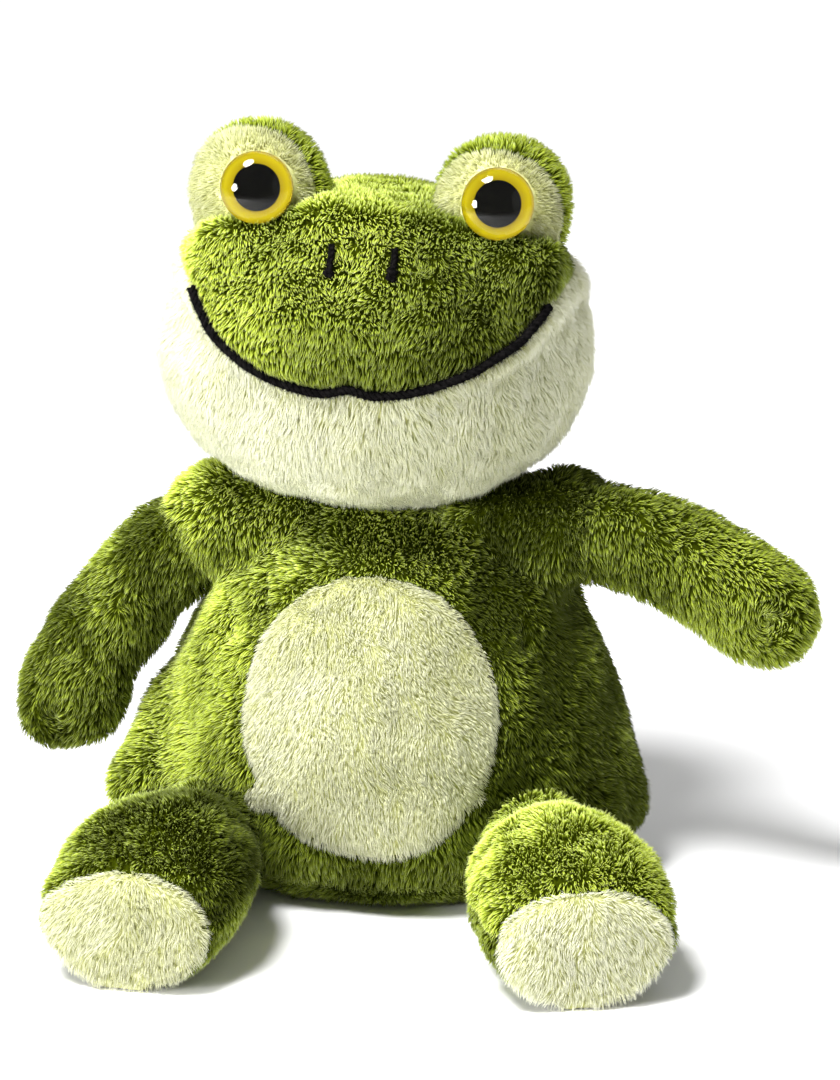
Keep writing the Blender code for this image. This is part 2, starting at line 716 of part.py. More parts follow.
def add_eye(name, side, parts, cutters, head):
    gap = CLEARANCE
    eye = eye_frame(side, parts, head)
    radius = EYE_DIAMETER / 2
    pocket_radius = WASHER_DIAMETER / 2 + gap
    washer_back = -WASHER_REACH - WASHER_THICKNESS
    seat = object_of(f"eye_seat_{name}", disc(radius + gap, 0, OVERRUN, EYE_SEGMENTS), cutters, eye)
    hole_low = min(-POST_LENGTH, washer_back) - gap
    hole = disc(POST_DIAMETER / 2 + gap, hole_low, OVERRUN, EYE_SEGMENTS)
    hole = object_of(f"post_hole_{name}", hole, cutters, eye)
    pocket = disc(pocket_radius, washer_back - gap, OVERRUN, EYE_SEGMENTS)
    pocket = object_of(f"washer_pocket_{name}", pocket, cutters, eye)
    for cutter in (seat, hole, pocket):
        as_cutter(cutter)
    cavity = object_of(f"mound_cavity_{name}", mound_form(side, FABRIC, INNER_SEGMENTS), cutters, head)
    cavity = as_cutter(cavity)
    crown = object_of(f"mound_base_{name}", crown_form(-CLEARANCE, HEAD_SEGMENTS), cutters, head)
    crown = as_cutter(crown)
    middle = Vector((side * MOUND_SPACING / 2, PATCH_SEAM_Y, MOUND_Z))
    seam = frame(f"patch_frame_{name}", middle, (PATCH_DROP[name], 0, PATCH_TURN[name]), parts)
    seam.parent = head
    wide, deep, tall = MOUND_WIDTH, MOUND_DEPTH + MOUND_WIDTH, MOUND_HEIGHT + MOUND_DEPTH
    front = box((-wide, -deep, -tall), (wide, -gap / 2, tall))
    back = box((-wide, gap / 2, -tall), (wide, deep, tall))
    for label, region, finish_name in (("eye_patch", front, "cream"), ("eye_hood", back, "green")):
        region = as_cutter(object_of(f"{label}_region_{name}", region, cutters, seam))
        panel = object_of(f"{label}_{name}", mound_form(side, 0, MOUND_SEGMENTS), parts, head)
        boolean(panel, "DIFFERENCE", cavity)
        boolean(panel, "INTERSECT", region)
        boolean(panel, "DIFFERENCE", crown)
        if label == "eye_patch":
            boolean(panel, "DIFFERENCE", seat, hole)
        finish(panel, finish_name)
    filling = mound_form(side, FABRIC + CLEARANCE, INNER_SEGMENTS)
    filling = object_of(f"eye_filling_{name}", filling, parts, head)
    boolean(filling, "DIFFERENCE", crown, pocket, hole)
    finish(filling, "filling")
    add_eye_hardware(name, parts, cutters, eye)


def add_eye_hardware(name, parts, cutters, eye):
    """The moulded eye: a clear dome, a black pupil, a yellow back plate with a post, and a washer."""
    gap = CLEARANCE
    radius = EYE_DIAMETER / 2
    plate_top = gap + IRIS_THICKNESS
    lens_low = plate_top + gap
    dome = []
    for k in range(LENS_POINTS):
        angle = math.pi / 2 * k / (LENS_POINTS - 1)
        height = lens_low + EYE_RIM + (EYE_DOME_HEIGHT - EYE_RIM) * math.cos(angle)
        dome.append((radius * math.sin(angle), height))
    dome += [(radius, lens_low), (0, lens_low)]
    finish(turned(f"eye_lens_{name}", dome, EYE_SEGMENTS, parts, eye), "lens")
    post = POST_DIAMETER / 2
    recess = PUPIL_DIAMETER / 2 + gap
    recess_low = plate_top - PUPIL_THICKNESS - gap
    plate = [
        (0, recess_low),
        (recess, recess_low),
        (recess, plate_top),
        (radius, plate_top),
        (radius, gap),
        (post, gap),
        (post, -POST_LENGTH),
        (0, -POST_LENGTH),
    ]
    finish(turned(f"eye_iris_{name}", plate, EYE_SEGMENTS, parts, eye), "iris")
    pupil_low = recess_low + gap
    pupil = disc(PUPIL_DIAMETER / 2, pupil_low, pupil_low + PUPIL_THICKNESS, EYE_SEGMENTS)
    finish(object_of(f"eye_pupil_{name}", pupil, parts, eye), "pupil")
    washer = [
        (post + gap, -WASHER_REACH),
        (WASHER_DIAMETER / 2, -WASHER_REACH),
        (WASHER_DIAMETER / 2, -WASHER_REACH - WASHER_THICKNESS),
        (post + gap, -WASHER_REACH - WASHER_THICKNESS),
    ]
    finish(turned(f"eye_washer_{name}", washer, EYE_SEGMENTS, parts, eye, True), "washer")


def limb_rest(limb, side, name):
    """A limb's turn at rest, with its swing and lift axes for the positive way, in world directions."""
    if limb == "arm":
        rotation = (0, side * ARM_DROOP[name], -side * ARM_FORWARD)
        lift = Matrix.Rotation(rotation[2], 3, "Z") @ Vector((0, -side, 0))
        return rotation, Vector((0, 0, -side)), lift
    rotation = (0, 0, side * LEG_SPLAY[name])
    lift = Matrix.Rotation(rotation[2], 3, "Z") @ Vector((-1, 0, 0))
    return rotation, Vector((0, 0, side)), lift


def swept_space(name, form, pivot, rest, swings, lifts, radius, reach, cutters):
    """The room in the torso that a limb's root needs, over the whole range of both its joints."""
    rotation, swing_axis, lift_axis = rest
    room = SEAM_BAND + 2 * SEAM_GAP
    ball = (radius + room) * SOCKET_SPARE_SHARE
    grown = form(-room, SWEEP_SEGMENTS)
    near = [vert.co.copy() for vert in grown.verts if ball < vert.co.length < reach]
    grown.free()
    round_root = bmesh.new()
    around = SOCKET_SEGMENTS
    bmesh.ops.create_uvsphere(round_root, u_segments=around, v_segments=around // 2, radius=ball)
    places = [vert.co.copy() for vert in round_root.verts]
    round_root.free()
    base = Matrix.Rotation(rotation[2], 3, "Z") @ Matrix.Rotation(rotation[1], 3, "Y")
    for a in range(SWEEP_STEPS):
        swing = swings[0] + (swings[1] - swings[0]) * a / (SWEEP_STEPS - 1)
        for b in range(SWEEP_STEPS):
            lift = lifts[0] + (lifts[1] - lifts[0]) * b / (SWEEP_STEPS - 1)
            turn = Matrix.Rotation(math.radians(swing), 3, swing_axis)
            turn = turn @ Matrix.Rotation(math.radians(lift), 3, lift_axis) @ base
            places += [turn @ point for point in near]
    bm = bmesh.new()
    for place in places:
        bm.verts.new(place)
    hull = bmesh.ops.convex_hull(bm, input=bm.verts)
    spare = set(hull["geom_interior"]) | set(hull["geom_unused"])
    spare = [item for item in spare if isinstance(item, bmesh.types.BMVert)]
    bmesh.ops.delete(bm, geom=spare, context="VERTS")
    bmesh.ops.dissolve_limit(bm, angle_limit=FLAT_ANGLE, verts=bm.verts, edges=bm.edges)
    space = object_of(name, solid_mesh(bm), cutters)
    space.location = pivot
    return as_cutter(space)


def add_arm(name, side, parts, cutters):
    pivot = Vector((side * SHOULDER_SPACING / 2, SHOULDER_Y, SHOULDER_Z))
    rest = limb_rest("arm", side, name)
    arm = frame(f"shoulder_frame_{name}", pivot, rest[0], parts)
    gap = CLEARANCE / 2
    far = ARM_LENGTH + ARM_THICKNESS
    cavity = object_of(f"arm_cavity_{name}", arm_form(side, FABRIC, LIMB_INNER_SEGMENTS), cutters, arm)
    cavity = as_cutter(cavity)
    halves = {
        "arm_front_panel": ((-far, -far, -far), (far, -gap, far)),
        "arm_back_panel": ((-far, gap, -far), (far, far, far)),
    }
    for label, (low, high) in halves.items():
        region = as_cutter(object_of(f"{label}_region_{name}", box(low, high), cutters, arm))
        panel = object_of(f"{label}_{name}", arm_form(side, 0, LIMB_SEGMENTS), parts, arm)
        boolean(panel, "DIFFERENCE", cavity)
        boolean(panel, "INTERSECT", region)
        finish(panel, "green")
    filling = arm_form(side, FABRIC + CLEARANCE, LIMB_INNER_SEGMENTS)
    finish(object_of(f"arm_stuffing_{name}", filling, parts, arm), "filling")
    seam_band(f"shoulder_seam_{name}", ARM_ROOT_RADIUS, ARM_BAND_ANGLES, parts, arm, (-side, 0, 0))

    def form(inset, segments):
        return arm_form(side, inset, segments)

    reach = ARM_ROOT_RADIUS * ARM_SOCKET_REACH_SHARE
    ranges = (ARM_SWING, ARM_RAISE[name])
    return swept_space(f"shoulder_space_{name}", form, pivot, rest, *ranges, ARM_ROOT_RADIUS, reach, cutters)


def add_leg(name, side, parts, cutters):
    pivot = Vector((side * HIP_SPACING / 2, HIP_Y, HIP_Z))
    rest = limb_rest("leg", side, name)
    leg = frame(f"hip_frame_{name}", pivot, rest[0], parts)
    gap = CLEARANCE / 2
    far = LEG_LENGTH + LEG_WIDTH
    seam = LEG_SEAM_HEIGHT - HIP_Z
    sole = SOLE_DEPTH - LEG_LENGTH
    cavity = object_of(f"leg_cavity_{name}", leg_form(side, FABRIC, LIMB_INNER_SEGMENTS), cutters, leg)
    cavity = as_cutter(cavity)
    regions = {
        "leg_upper_panel": ((-far, sole + gap, seam + gap), (far, far, far)),
        "leg_lower_panel": ((-far, sole + gap, -HIP_Z), (far, far, seam - gap)),
        "sole_panel": ((-far, -far, -HIP_Z), (far, sole - gap, far)),
    }
    for label, (low, high) in regions.items():
        region = as_cutter(object_of(f"{label}_region_{name}", box(low, high), cutters, leg))
        panel = object_of(f"{label}_{name}", leg_form(side, 0, LIMB_SEGMENTS), parts, leg)
        boolean(panel, "DIFFERENCE", cavity)
        boolean(panel, "INTERSECT", region)
        finish(panel, "cream" if label == "sole_panel" else "green")
    split = -LEG_LENGTH * PELLET_REACH_SHARE
    fills = {"leg_stuffing": (split + gap, far, "filling"), "foot_pellets": (-far, split - gap, "pellets")}
    for label, (low, high, finish_name) in fills.items():
        region = box((-far, low, -far), (far, high, far))
        region = as_cutter(object_of(f"{label}_region_{name}", region, cutters, leg))
        filling = leg_form(side, FABRIC + CLEARANCE, LIMB_INNER_SEGMENTS)
        filling = object_of(f"{label}_{name}", filling, parts, leg)
        boolean(filling, "INTERSECT", region)
        finish(filling, finish_name)
    seam_band(f"hip_seam_{name}", LEG_ROOT_RADIUS, LEG_BAND_ANGLES, parts, leg, (0, 1, 0))

    def form(inset, segments):
        return leg_form(side, inset, segments)

    reach = LEG_ROOT_RADIUS * LEG_SOCKET_REACH_SHARE
    ranges = (LEG_SPREAD, LEG_RAISE)
    return swept_space(f"hip_space_{name}", form, pivot, rest, *ranges, LEG_ROOT_RADIUS, reach, cutters)


def build():
    clear_scene()
    parts = new_collection("plush_frog")
    cutters = new_collection("cutters", hidden=True)
    sockets = []
    for name, side in SIDES.items():
        sockets.append(add_arm(name, side, parts, cutters))
        sockets.append(add_leg(name, side, parts, cutters))
    add_torso(parts, cutters, sockets)
    neck = Vector((NECK_X, 0, NECK_Z))
    head = frame("neck_frame", neck, (0, HEAD_ROLL, HEAD_YAW), parts)
    seam_band("neck_seam", NECK_RADIUS, NECK_BAND_ANGLES, parts, head, (0, 0, 1))
    add_head(parts, cutters, head)
    for name, side in SIDES.items():
        add_eye(name, side, parts, cutters, head)


build()
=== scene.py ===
"""Looks of the stuffed plush frog: covers shaped by their seams, long pile, yarn and moulded eyes."""

import json
import math

import bmesh
import bpy
import numpy as np
from mathutils import Matrix, Vector
from mathutils.bvhtree import BVHTree


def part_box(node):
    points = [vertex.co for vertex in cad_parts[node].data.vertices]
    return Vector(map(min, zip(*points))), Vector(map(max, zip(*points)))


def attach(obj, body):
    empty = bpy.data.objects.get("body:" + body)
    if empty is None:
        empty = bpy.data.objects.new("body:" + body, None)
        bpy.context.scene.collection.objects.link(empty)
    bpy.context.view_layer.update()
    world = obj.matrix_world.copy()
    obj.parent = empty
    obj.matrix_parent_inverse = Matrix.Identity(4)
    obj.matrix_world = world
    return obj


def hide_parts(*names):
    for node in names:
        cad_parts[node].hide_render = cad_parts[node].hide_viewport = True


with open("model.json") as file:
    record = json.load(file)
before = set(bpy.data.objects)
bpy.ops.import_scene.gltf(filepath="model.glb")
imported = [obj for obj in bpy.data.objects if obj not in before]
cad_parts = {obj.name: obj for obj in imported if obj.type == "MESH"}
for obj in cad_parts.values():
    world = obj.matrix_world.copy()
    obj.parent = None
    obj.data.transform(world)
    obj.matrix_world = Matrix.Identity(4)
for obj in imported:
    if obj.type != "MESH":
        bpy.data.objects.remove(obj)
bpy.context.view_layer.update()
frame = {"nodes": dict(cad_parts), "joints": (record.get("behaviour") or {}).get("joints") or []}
NODES = frame["nodes"]
JOINTS = {joint["name"]: joint for joint in frame["joints"]}
SIDES = {"left": 1, "right": -1}
MM = 0.001

# Pile: strands, how many grow on a square millimetre, and how deep the backing cloth lies under their outside
PILE_DEPTH = 1.5 * MM
ROOT_SINK = 0.15 * MM
GREEN_LENGTH = 2.45 * MM
GREEN_RADIUS = 0.090 * MM
GREEN_DENSITY = 8.5
CREAM_LENGTH = 2.45 * MM
CREAM_RADIUS = 0.064 * MM
CREAM_DENSITY = 12.5
CLUMP_SIZE = 0.85 * MM
STRANDS_IN_PIECE = 21000
STRAND_POINTS = 7

# Pile shorter and lower beside a seam: the least share of its length, and how far from the seam it is full
SEAM_SHARE = 0.72
SEAM_REACH = 2.2 * MM

# Backing cloth
VOXEL = 1.1 * MM
SEAM_WIDTH = 1.3 * MM
SEAM_DEPTH = 0.7 * MM

# Slow waves of the stuffed cloth: size, height and seed
HEAD_WAVES = (13 * MM, 0.25 * MM, 11)
TORSO_WAVES = (15 * MM, 0.45 * MM, 21)
ARM_WAVES = (11 * MM, 0.30 * MM, 31)
LEG_WAVES = (11 * MM, 0.30 * MM, 41)

# The cloth that rests on the floor: below what height it is pressed flat, by how much, and how low it may go
REST_BELOW = {"torso": 1.5 * MM, "leg": 1.6 * MM}
REST_PRESS = 1.2 * MM
REST_LOWEST = 0.2 * MM
BARE_BELOW = 1.2 * MM

# Shoulders: where the torso's cloth bulges over the root of each arm
SHOULDER_RADII = (11.2 * MM, 9.4 * MM)
SHOULDER_WAY = (12 * MM, 0.5 * MM, 0.5 * MM)
SHOULDER_BALLS = 5

# Sloping hip at each side of the torso: two balls out of the leg's turning point, then back and up
HIP_OUT = {"left": (2 * MM, 6 * MM), "right": (8 * MM, 12.5 * MM)}
HIP_PLACES = ((21 * MM, 19 * MM), (14 * MM, 4 * MM))
HIP_RADII = (6 * MM, 8.5 * MM)

# The crown's corner beyond the end of the mouth at the frog's right
CROWN_CORNER = (-37.3 * MM, -8 * MM, 109 * MM)

# How far down from its top the back of the head is one slope with the crown
CROWN_TOP = 1.5 * MM

# How far the corners of the mouth lie over the CAD cord: place across the view, and lift
MOUTH_LIFT = (
    (-35.7 * MM, 2.8 * MM), (-32.0 * MM, 3.0 * MM), (-24.5 * MM, 0.3 * MM), (-14 * MM, 0), (0.5 * MM, 0.9 * MM),
    (12.0 * MM, 3.4 * MM), (18.0 * MM, 4.5 * MM), (23.5 * MM, 4.8 * MM), (28.0 * MM, 3.4 * MM),
)

# The seam between the crown and the chin past the mouth's corners: its climb in metres a radian, and its reach
CORNER_CLIMB = 8 * MM
CORNER_REACH = {"left": 0.76, "right": 0.85}

# The crown's cloth is drawn up against each eye: places from the eye's middle, inward, back and up
BROW = (
    (-10.0 * MM, 2.5 * MM, -6.6 * MM),
    (-4.0 * MM, -0.6 * MM, -7.4 * MM),
    (2.0 * MM, -1.0 * MM, -7.4 * MM),
    (6.0 * MM, -0.8 * MM, -5.2 * MM),
    (11.0 * MM, 1.5 * MM, -1.8 * MM),
)

# Folds in front of each shoulder, from the arm's turning point: start, end, depth
SHOULDER_FOLDS = (
    ((-3 * MM, -11 * MM, 6 * MM), (-4 * MM, -17 * MM, -16 * MM), 1.6 * MM),
    ((-9 * MM, -10 * MM, 6 * MM), (-10 * MM, -20 * MM, -12 * MM), 0.9 * MM),
)
FOLD_WIDTH = 2.4 * MM

# The pile swirls at the closed end of each arm: reach, place in and forward from the tip, pressed depth and width
WHORL_RADIUS = 7.0 * MM
WHORL_PLACE = (6 * MM, 9 * MM)
WHORL_PRESS = (0.9 * MM, 2.0 * MM)

# The mouth: the valley it lies in, and the notch in its middle
MOUTH_PRESS = (1.1 * MM, 1.6 * MM)
NOTCH_PLACE = 2.2 * MM
NOTCH_WIDTH = 2.6 * MM
NOTCH_RISE = 1.0 * MM

# The dart in the crown over the notch: its line from there, depth and width
DART = ((0, 0, 0), (1.2 * MM, -1.2 * MM, 6 * MM), (1.6 * MM, 0.2 * MM, 12.5 * MM))
DART_PRESS = (0.5 * MM, 0.8 * MM)

# Bare cloth beside the mouth and the nostrils
MOUTH_BARE = 0.8 * MM
NOSTRIL_BARE = 1.1 * MM

# Painted light and shade on each limb's pile: each side's tone, lighter or darker for how the light falls on it,
# and how much painted shade falls across it
ARM_PAINTED_LIGHT = {"left": 0.66, "right": 0.20}
ARM_SHADE_DROP = {"left": 0.45, "right": 0.0}
LEG_PAINTED_LIGHT = {"left": 0.98, "right": 0.44}
LEG_SHADE_DROP = {"left": 0.10, "right": 0.50}
SOLE_PAINTED_LIGHT = {"left": 0.90, "right": 0.40}

# Painted shade across a panel's pile, darker along one way: start, way, reach and fall in tone
CROWN_PAINTED_SHADE = ((0, 0, 118.75 * MM), (0.6, 0, -0.8), 24 * MM, 0.88)
CHIN_PAINTED_SHADE = ((-15 * MM, 0, 90 * MM), (1, 0, -0.3), 50 * MM, 0.3)
NAPE_PAINTED_SHADE = ((0, 0, 100 * MM), (1, 0, -0.4), 30 * MM, 0.3)
TORSO_PAINTED_SHADE = ((0, 0, 50 * MM), (1, 0, 0), 18 * MM, 0.88)
BELLY_PAINTED_SHADE = ((0, 0, 30 * MM), (0.3, 0, 1), 30 * MM, 0.2)
ARM_PAINTED_SHADE = (30 * MM, 20 * MM)
LEG_PAINTED_SHADE = (8 * MM, 30 * MM, 15 * MM)

# Linear colours along a strand from its root to its tip, darker towards the root partly as painted shade deep in
# the pile, and the tones that multiply them, which carry each panel's painted light and shade
GREEN_ALONG = (
    (0.0, (0.030, 0.043, 0.002)),
    (0.35, (0.185, 0.245, 0.014)),
    (0.7, (0.465, 0.575, 0.066)),
    (1.0, (0.71, 0.80, 0.33)),
)
GREEN_TONES = ((0.0, (0.15, 0.155, 0.15)), (0.5, (0.74, 0.74, 0.76)), (1.0, (1.30, 1.24, 1.3)))
CREAM_ALONG = ((0.0, (0.44, 0.45, 0.13)), (0.4, (0.80, 0.81, 0.53)), (1.0, (0.95, 0.95, 0.86)))
CREAM_TONES = ((0.0, (0.56, 0.57, 0.34)), (0.5, (0.91, 0.91, 0.85)), (1.0, (1.0, 1.0, 1.0)))
YARN_DARK = (0.002, 0.002, 0.002)
YARN_LIGHT = (0.008, 0.007, 0.007)

# Iris: colours from its middle to its rim, and round it, where painted shade makes one side a little darker and
# warmer
IRIS_OUTWARD = (
    (0.0, (0.24, 0.18, 0.001)),
    (0.64, (0.28, 0.215, 0.001)),
    (0.84, (0.46, 0.385, 0.004)),
    (0.94, (0.36, 0.28, 0.002)),
    (1.0, (0.08, 0.055, 0.001)),
)
IRIS_ROUND_SHADE = ((0.0, (0.94, 0.9, 0.8)), (0.5, (1, 1, 1)), (1.0, (0.94, 0.9, 0.8)))

# Yarn: radius of a ply, its distance from the yarn's middle line, and the length of a turn
PLIES = 3
MOUTH_PLY = (0.42 * MM, 0.36 * MM, 3.2 * MM)
NOSTRIL_PLY = (0.34 * MM, 0.22 * MM, 3.6 * MM)
YARN_SINK = 0.5 * MM

# Fuzz on the yarn: how far out it starts, fibres in a millimetre, and their length
MOUTH_FUZZ = (0.75 * MM, 60, 0.9 * MM)
NOSTRIL_FUZZ = (0.5 * MM, 40, 0.7 * MM)
FIBRE_RADIUS = 0.045 * MM

# Moulded eye: shares of the lens's radius, then heights over the lens's seat
IRIS_SHARE = 0.955
PUPIL_SHARE = 0.60
BACK_SHARE = 0.98
LENS_RIM = 0.6 * MM
IRIS_HEIGHT = 0.06 * MM
PUPIL_RISE = 0.05 * MM
PUPIL_THICK = 0.10 * MM
BACK_THICK = 1.2 * MM
ROUND_STEPS = 72

# Camera: the photograph's viewing angle, with the scale found from the eyes
VIEW_AZIMUTH = math.radians(7.5)
VIEW_ELEVATION = math.radians(15)
VIEW_DISTANCE = 0.75
VIEW_TARGET = Vector((4.7 * MM, 0, 58 * MM))
LENS = 144.8
SENSOR = 36.0

# Studio: place, size and watts of each lamp, the sky's strength and the backdrop's grey
LAMPS = {
    "key_light": ((-0.26, -0.42, 0.95), (0.36, 0.36), 19),
    "front_light": ((-0.50, -0.62, 0.24), (0.20, 0.20), 6.2),
    "fill_light": ((0.8, -0.7, 0.35), (0.7, 0.9), 0.6),
    "back_light": ((0.2, 0.5, 0.9), (0.7, 0.5), 1.2),
}
LAMP_TARGET = (0, 0, 0.06)
SKY_STRENGTH = 0.26
BACKDROP_GREY = 0.96

# Backdrop: half its width and its height, where it starts to rise, and the radius of its curve
BACKDROP_SIZE = 3.0
BACKDROP_RISE = 0.7
BACKDROP_CURVE = 0.5


def node_points(name):
    mesh = NODES[name].data
    out = np.empty(len(mesh.vertices) * 3)
    mesh.vertices.foreach_get("co", out)
    return out.reshape(-1, 3)


def joined(names):
    bm = bmesh.new()
    for name in names:
        bm.from_mesh(NODES[name].data)
    return bm


def hull_of(points):
    bm = bmesh.new()
    for point in points:
        bm.verts.new(point)
    out = bmesh.ops.convex_hull(bm, input=bm.verts)
    inner = out["geom_interior"] + out["geom_unused"]
    spare = {item for item in inner if isinstance(item, bmesh.types.BMVert)}
    bmesh.ops.delete(bm, geom=list(spare), context="VERTS")
    return bm


def placed(name, data):
    """A new object in the scene."""
    obj = bpy.data.objects.new(name, data)
    bpy.context.scene.collection.objects.link(obj)
    return obj


def dressed(piece, material, body, slot, *replaced):
    """Gives a piece its material and body, and hides the CAD nodes that it stands for; slot is not used."""
    piece.data.materials.append(MATERIALS[material])
    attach(piece, body)
    if replaced:
        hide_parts(*replaced)


class Form:
    """A smooth triangle mesh as arrays: the backing cloth that the pile grows from."""

    def __init__(self, name, bm, voxel=VOXEL, rounds=14, inset=PILE_DEPTH):
        mesh = bpy.data.meshes.new(name)
        bm.to_mesh(mesh)
        bm.free()
        obj = placed(name, mesh)
        remesh = obj.modifiers.new("remesh", "REMESH")
        remesh.mode = "VOXEL"
        remesh.voxel_size = voxel
        smooth = obj.modifiers.new("smooth", "SMOOTH")
        smooth.factor = 0.5
        smooth.iterations = rounds
        bpy.context.view_layer.update()
        done = obj.evaluated_get(bpy.context.evaluated_depsgraph_get()).to_mesh()
        done.calc_loop_triangles()
        self.name = name
        self.points = np.empty(len(done.vertices) * 3)
        done.vertices.foreach_get("co", self.points)
        self.points = self.points.reshape(-1, 3)
        self.faces = np.empty(len(done.loop_triangles) * 3, np.int64)
        done.loop_triangles.foreach_get("vertices", self.faces)
        self.faces = self.faces.reshape(-1, 3)
        bpy.data.objects.remove(obj)
        self.outside = self.points.copy()
        self.points = self.points - self.normals() * inset

    def normals(self):
        a, b, c = (self.points[self.faces[:, k]] for k in range(3))
        across = np.cross(b - a, c - a)
        out = np.zeros_like(self.points)
        for k in range(3):
            np.add.at(out, self.faces[:, k], across)
        return unit(out)

    def tree(self):
        return BVHTree.FromPolygons(self.points.tolist(), self.faces.tolist())


def unit(vectors):
    return vectors / np.maximum(np.linalg.norm(vectors, axis=-1, keepdims=True), 1e-12)


def waves(points, size, seed, count=7):
    """A smooth random vector field whose features are about size apart."""
    rng = np.random.default_rng(seed)
    ways = unit(rng.normal(size=(count, 3))) * (2 * math.pi / size) * rng.uniform(0.6, 1.3, (count, 1))
    phases = rng.uniform(0, 2 * math.pi, (count, 3))
    turns = points @ ways.T
    return np.sin(turns[:, :, None] + phases[None]).sum(1) * math.sqrt(2 / count) / 1.4


def node_tree(name):
    bm = joined([name])
    tree = BVHTree.FromBMesh(bm)
    bm.free()
    return tree


def distances(points, tree):
    return np.array([tree.find_nearest(point)[3] for point in points.tolist()])


def line_distance(points, line):
    """Distance of each point to a polyline."""
    best = np.full(len(points), 1e9)
    for a, b in zip(line[:-1], line[1:]):
        way = b - a
        share = np.clip(((points - a) @ way) / max(way @ way, 1e-18), 0, 1)
        reach = np.linalg.norm(points - (a + share[:, None] * way), axis=1)
        best = np.minimum(best, reach)
    return best


class Cover:
    """One cushion's cloth: its form, which panel each place belongs to and how far its seams are."""

    def __init__(self, form, panels, body, part_at=None):
        self.form = form
        self.panels = panels
        self.body = body
        self.trees = [node_tree(name) for name in panels]
        self.reach = np.stack([distances(form.outside, tree) for tree in self.trees], 1)
        if part_at:
            gap = part_at(form.outside)
            ruled = np.isfinite(gap)
            self.reach[ruled, 0] = np.maximum(-gap[ruled], 0)
            self.reach[ruled, 1] = np.maximum(gap[ruled], 0)
        self.label = self.reach.argmin(1)
        self.seam = self.seam_of(self.reach)
        if len(panels) > 1:
            depth = SEAM_DEPTH * np.exp(-((self.seam / SEAM_WIDTH) ** 2))
            form.points = form.points - form.normals() * depth[:, None]

    def seam_of(self, reach):
        if reach.shape[1] < 2:
            return np.full(len(reach), 1.0)
        ordered = np.sort(reach, axis=1)
        return np.maximum(ordered[:, 1] - ordered[:, 0] * 0.5, 0)

    def press(self, line, depth, width):
        """A valley along a line, such as a dart or a fold."""
        reach = line_distance(self.form.points, line)
        sink = depth * np.exp(-((reach / width) ** 2))
        self.form.points = self.form.points - self.form.normals() * sink[:, None]

    def ruffle(self, size, height, seed):
        lift = waves(self.form.points, size, seed)[:, 0]
        self.form.points = self.form.points + self.form.normals() * (lift * height)[:, None]

    def rest(self, below):
        """Presses the lowest cloth flat on the floor."""
        floor = self.form.points[:, 2] < below
        self.form.points[floor, 2] = np.maximum(self.form.points[floor, 2] - REST_PRESS, REST_LOWEST)

    def skins(self, slots, replaced):
        """One cloth piece for each panel."""
        face_label = self.label[self.form.faces[:, 0]]
        for k, panel in enumerate(self.panels):
            faces = self.form.faces[face_label == k]
            if not len(faces):
                continue
            used, faces = np.unique(faces, return_inverse=True)
            mesh = bpy.data.meshes.new(f"{panel}_cloth")
            mesh.from_pydata(self.form.points[used].tolist(), [], faces.reshape(-1, 3).tolist())
            mesh.shade_smooth()
            piece = placed(f"{panel}_cloth", mesh)
            cloth = "cream_cloth" if slots[k] == "cream_fur" else "green_cloth"
            dressed(piece, cloth, self.body, slots[k], panel, *(replaced if k == 0 else ()))


def nodes_of(material):
    material.use_nodes = True
    tree = material.node_tree
    return tree, tree.nodes["Principled BSDF"]


def ramp(tree, source, stops):
    node = tree.nodes.new("ShaderNodeValToRGB")
    elements = node.color_ramp.elements
    while len(elements) < len(stops):
        elements.new(0.5)
    for element, (place, colour) in zip(elements, stops):
        element.position = place
        element.color = (*colour, 1)
    tree.links.new(source, node.inputs["Fac"])
    return node.outputs["Color"]


def multiplied(tree, one, other):
    node = tree.nodes.new("ShaderNodeMix")
    node.data_type = "RGBA"
    node.blend_type = "MULTIPLY"
    node.inputs["Factor"].default_value = 1
    tree.links.new(one, node.inputs["A"])
    tree.links.new(other, node.inputs["B"])
    return node.outputs["Result"]


def map_material(name, along, across, roughness, specular):
    """Colour by the piece's own map: one ramp runs with V and multiplies one that runs with U."""
    material = bpy.data.materials.new(name)
    tree, shader = nodes_of(material)
    uv = tree.nodes.new("ShaderNodeUVMap")
    uv.uv_map = "OFBake"
    split = tree.nodes.new("ShaderNodeSeparateXYZ")
    tree.links.new(uv.outputs["UV"], split.inputs["Vector"])
    colour = multiplied(tree, ramp(tree, split.outputs["Y"], along), ramp(tree, split.outputs["X"], across))
    tree.links.new(colour, shader.inputs["Base Color"])
    shader.inputs["Roughness"].default_value = roughness
    shader.inputs["Specular IOR Level"].default_value = specular
    return material


def fur_material(name, along, tones):
    """Pile: colour runs along the strand with V, and each strand has its own tone by U."""
    return map_material(name, along, tones, 0.7, 0.0)


def iris_material():
    """Bright yellow plastic that deepens to amber at its rim, by distance from the disc's middle, with painted
    shade a little darker on one side.
    """
    return map_material("iris_plastic", IRIS_OUTWARD, IRIS_ROUND_SHADE, 0.4, 0.05)


def noise_of(tree, scale, detail=2):
    where = tree.nodes.new("ShaderNodeTexCoord")
    noise = tree.nodes.new("ShaderNodeTexNoise")
    noise.inputs["Scale"].default_value = scale
    noise.inputs["Detail"].default_value = detail
    tree.links.new(where.outputs["Object"], noise.inputs["Vector"])
    return noise.outputs["Fac"]


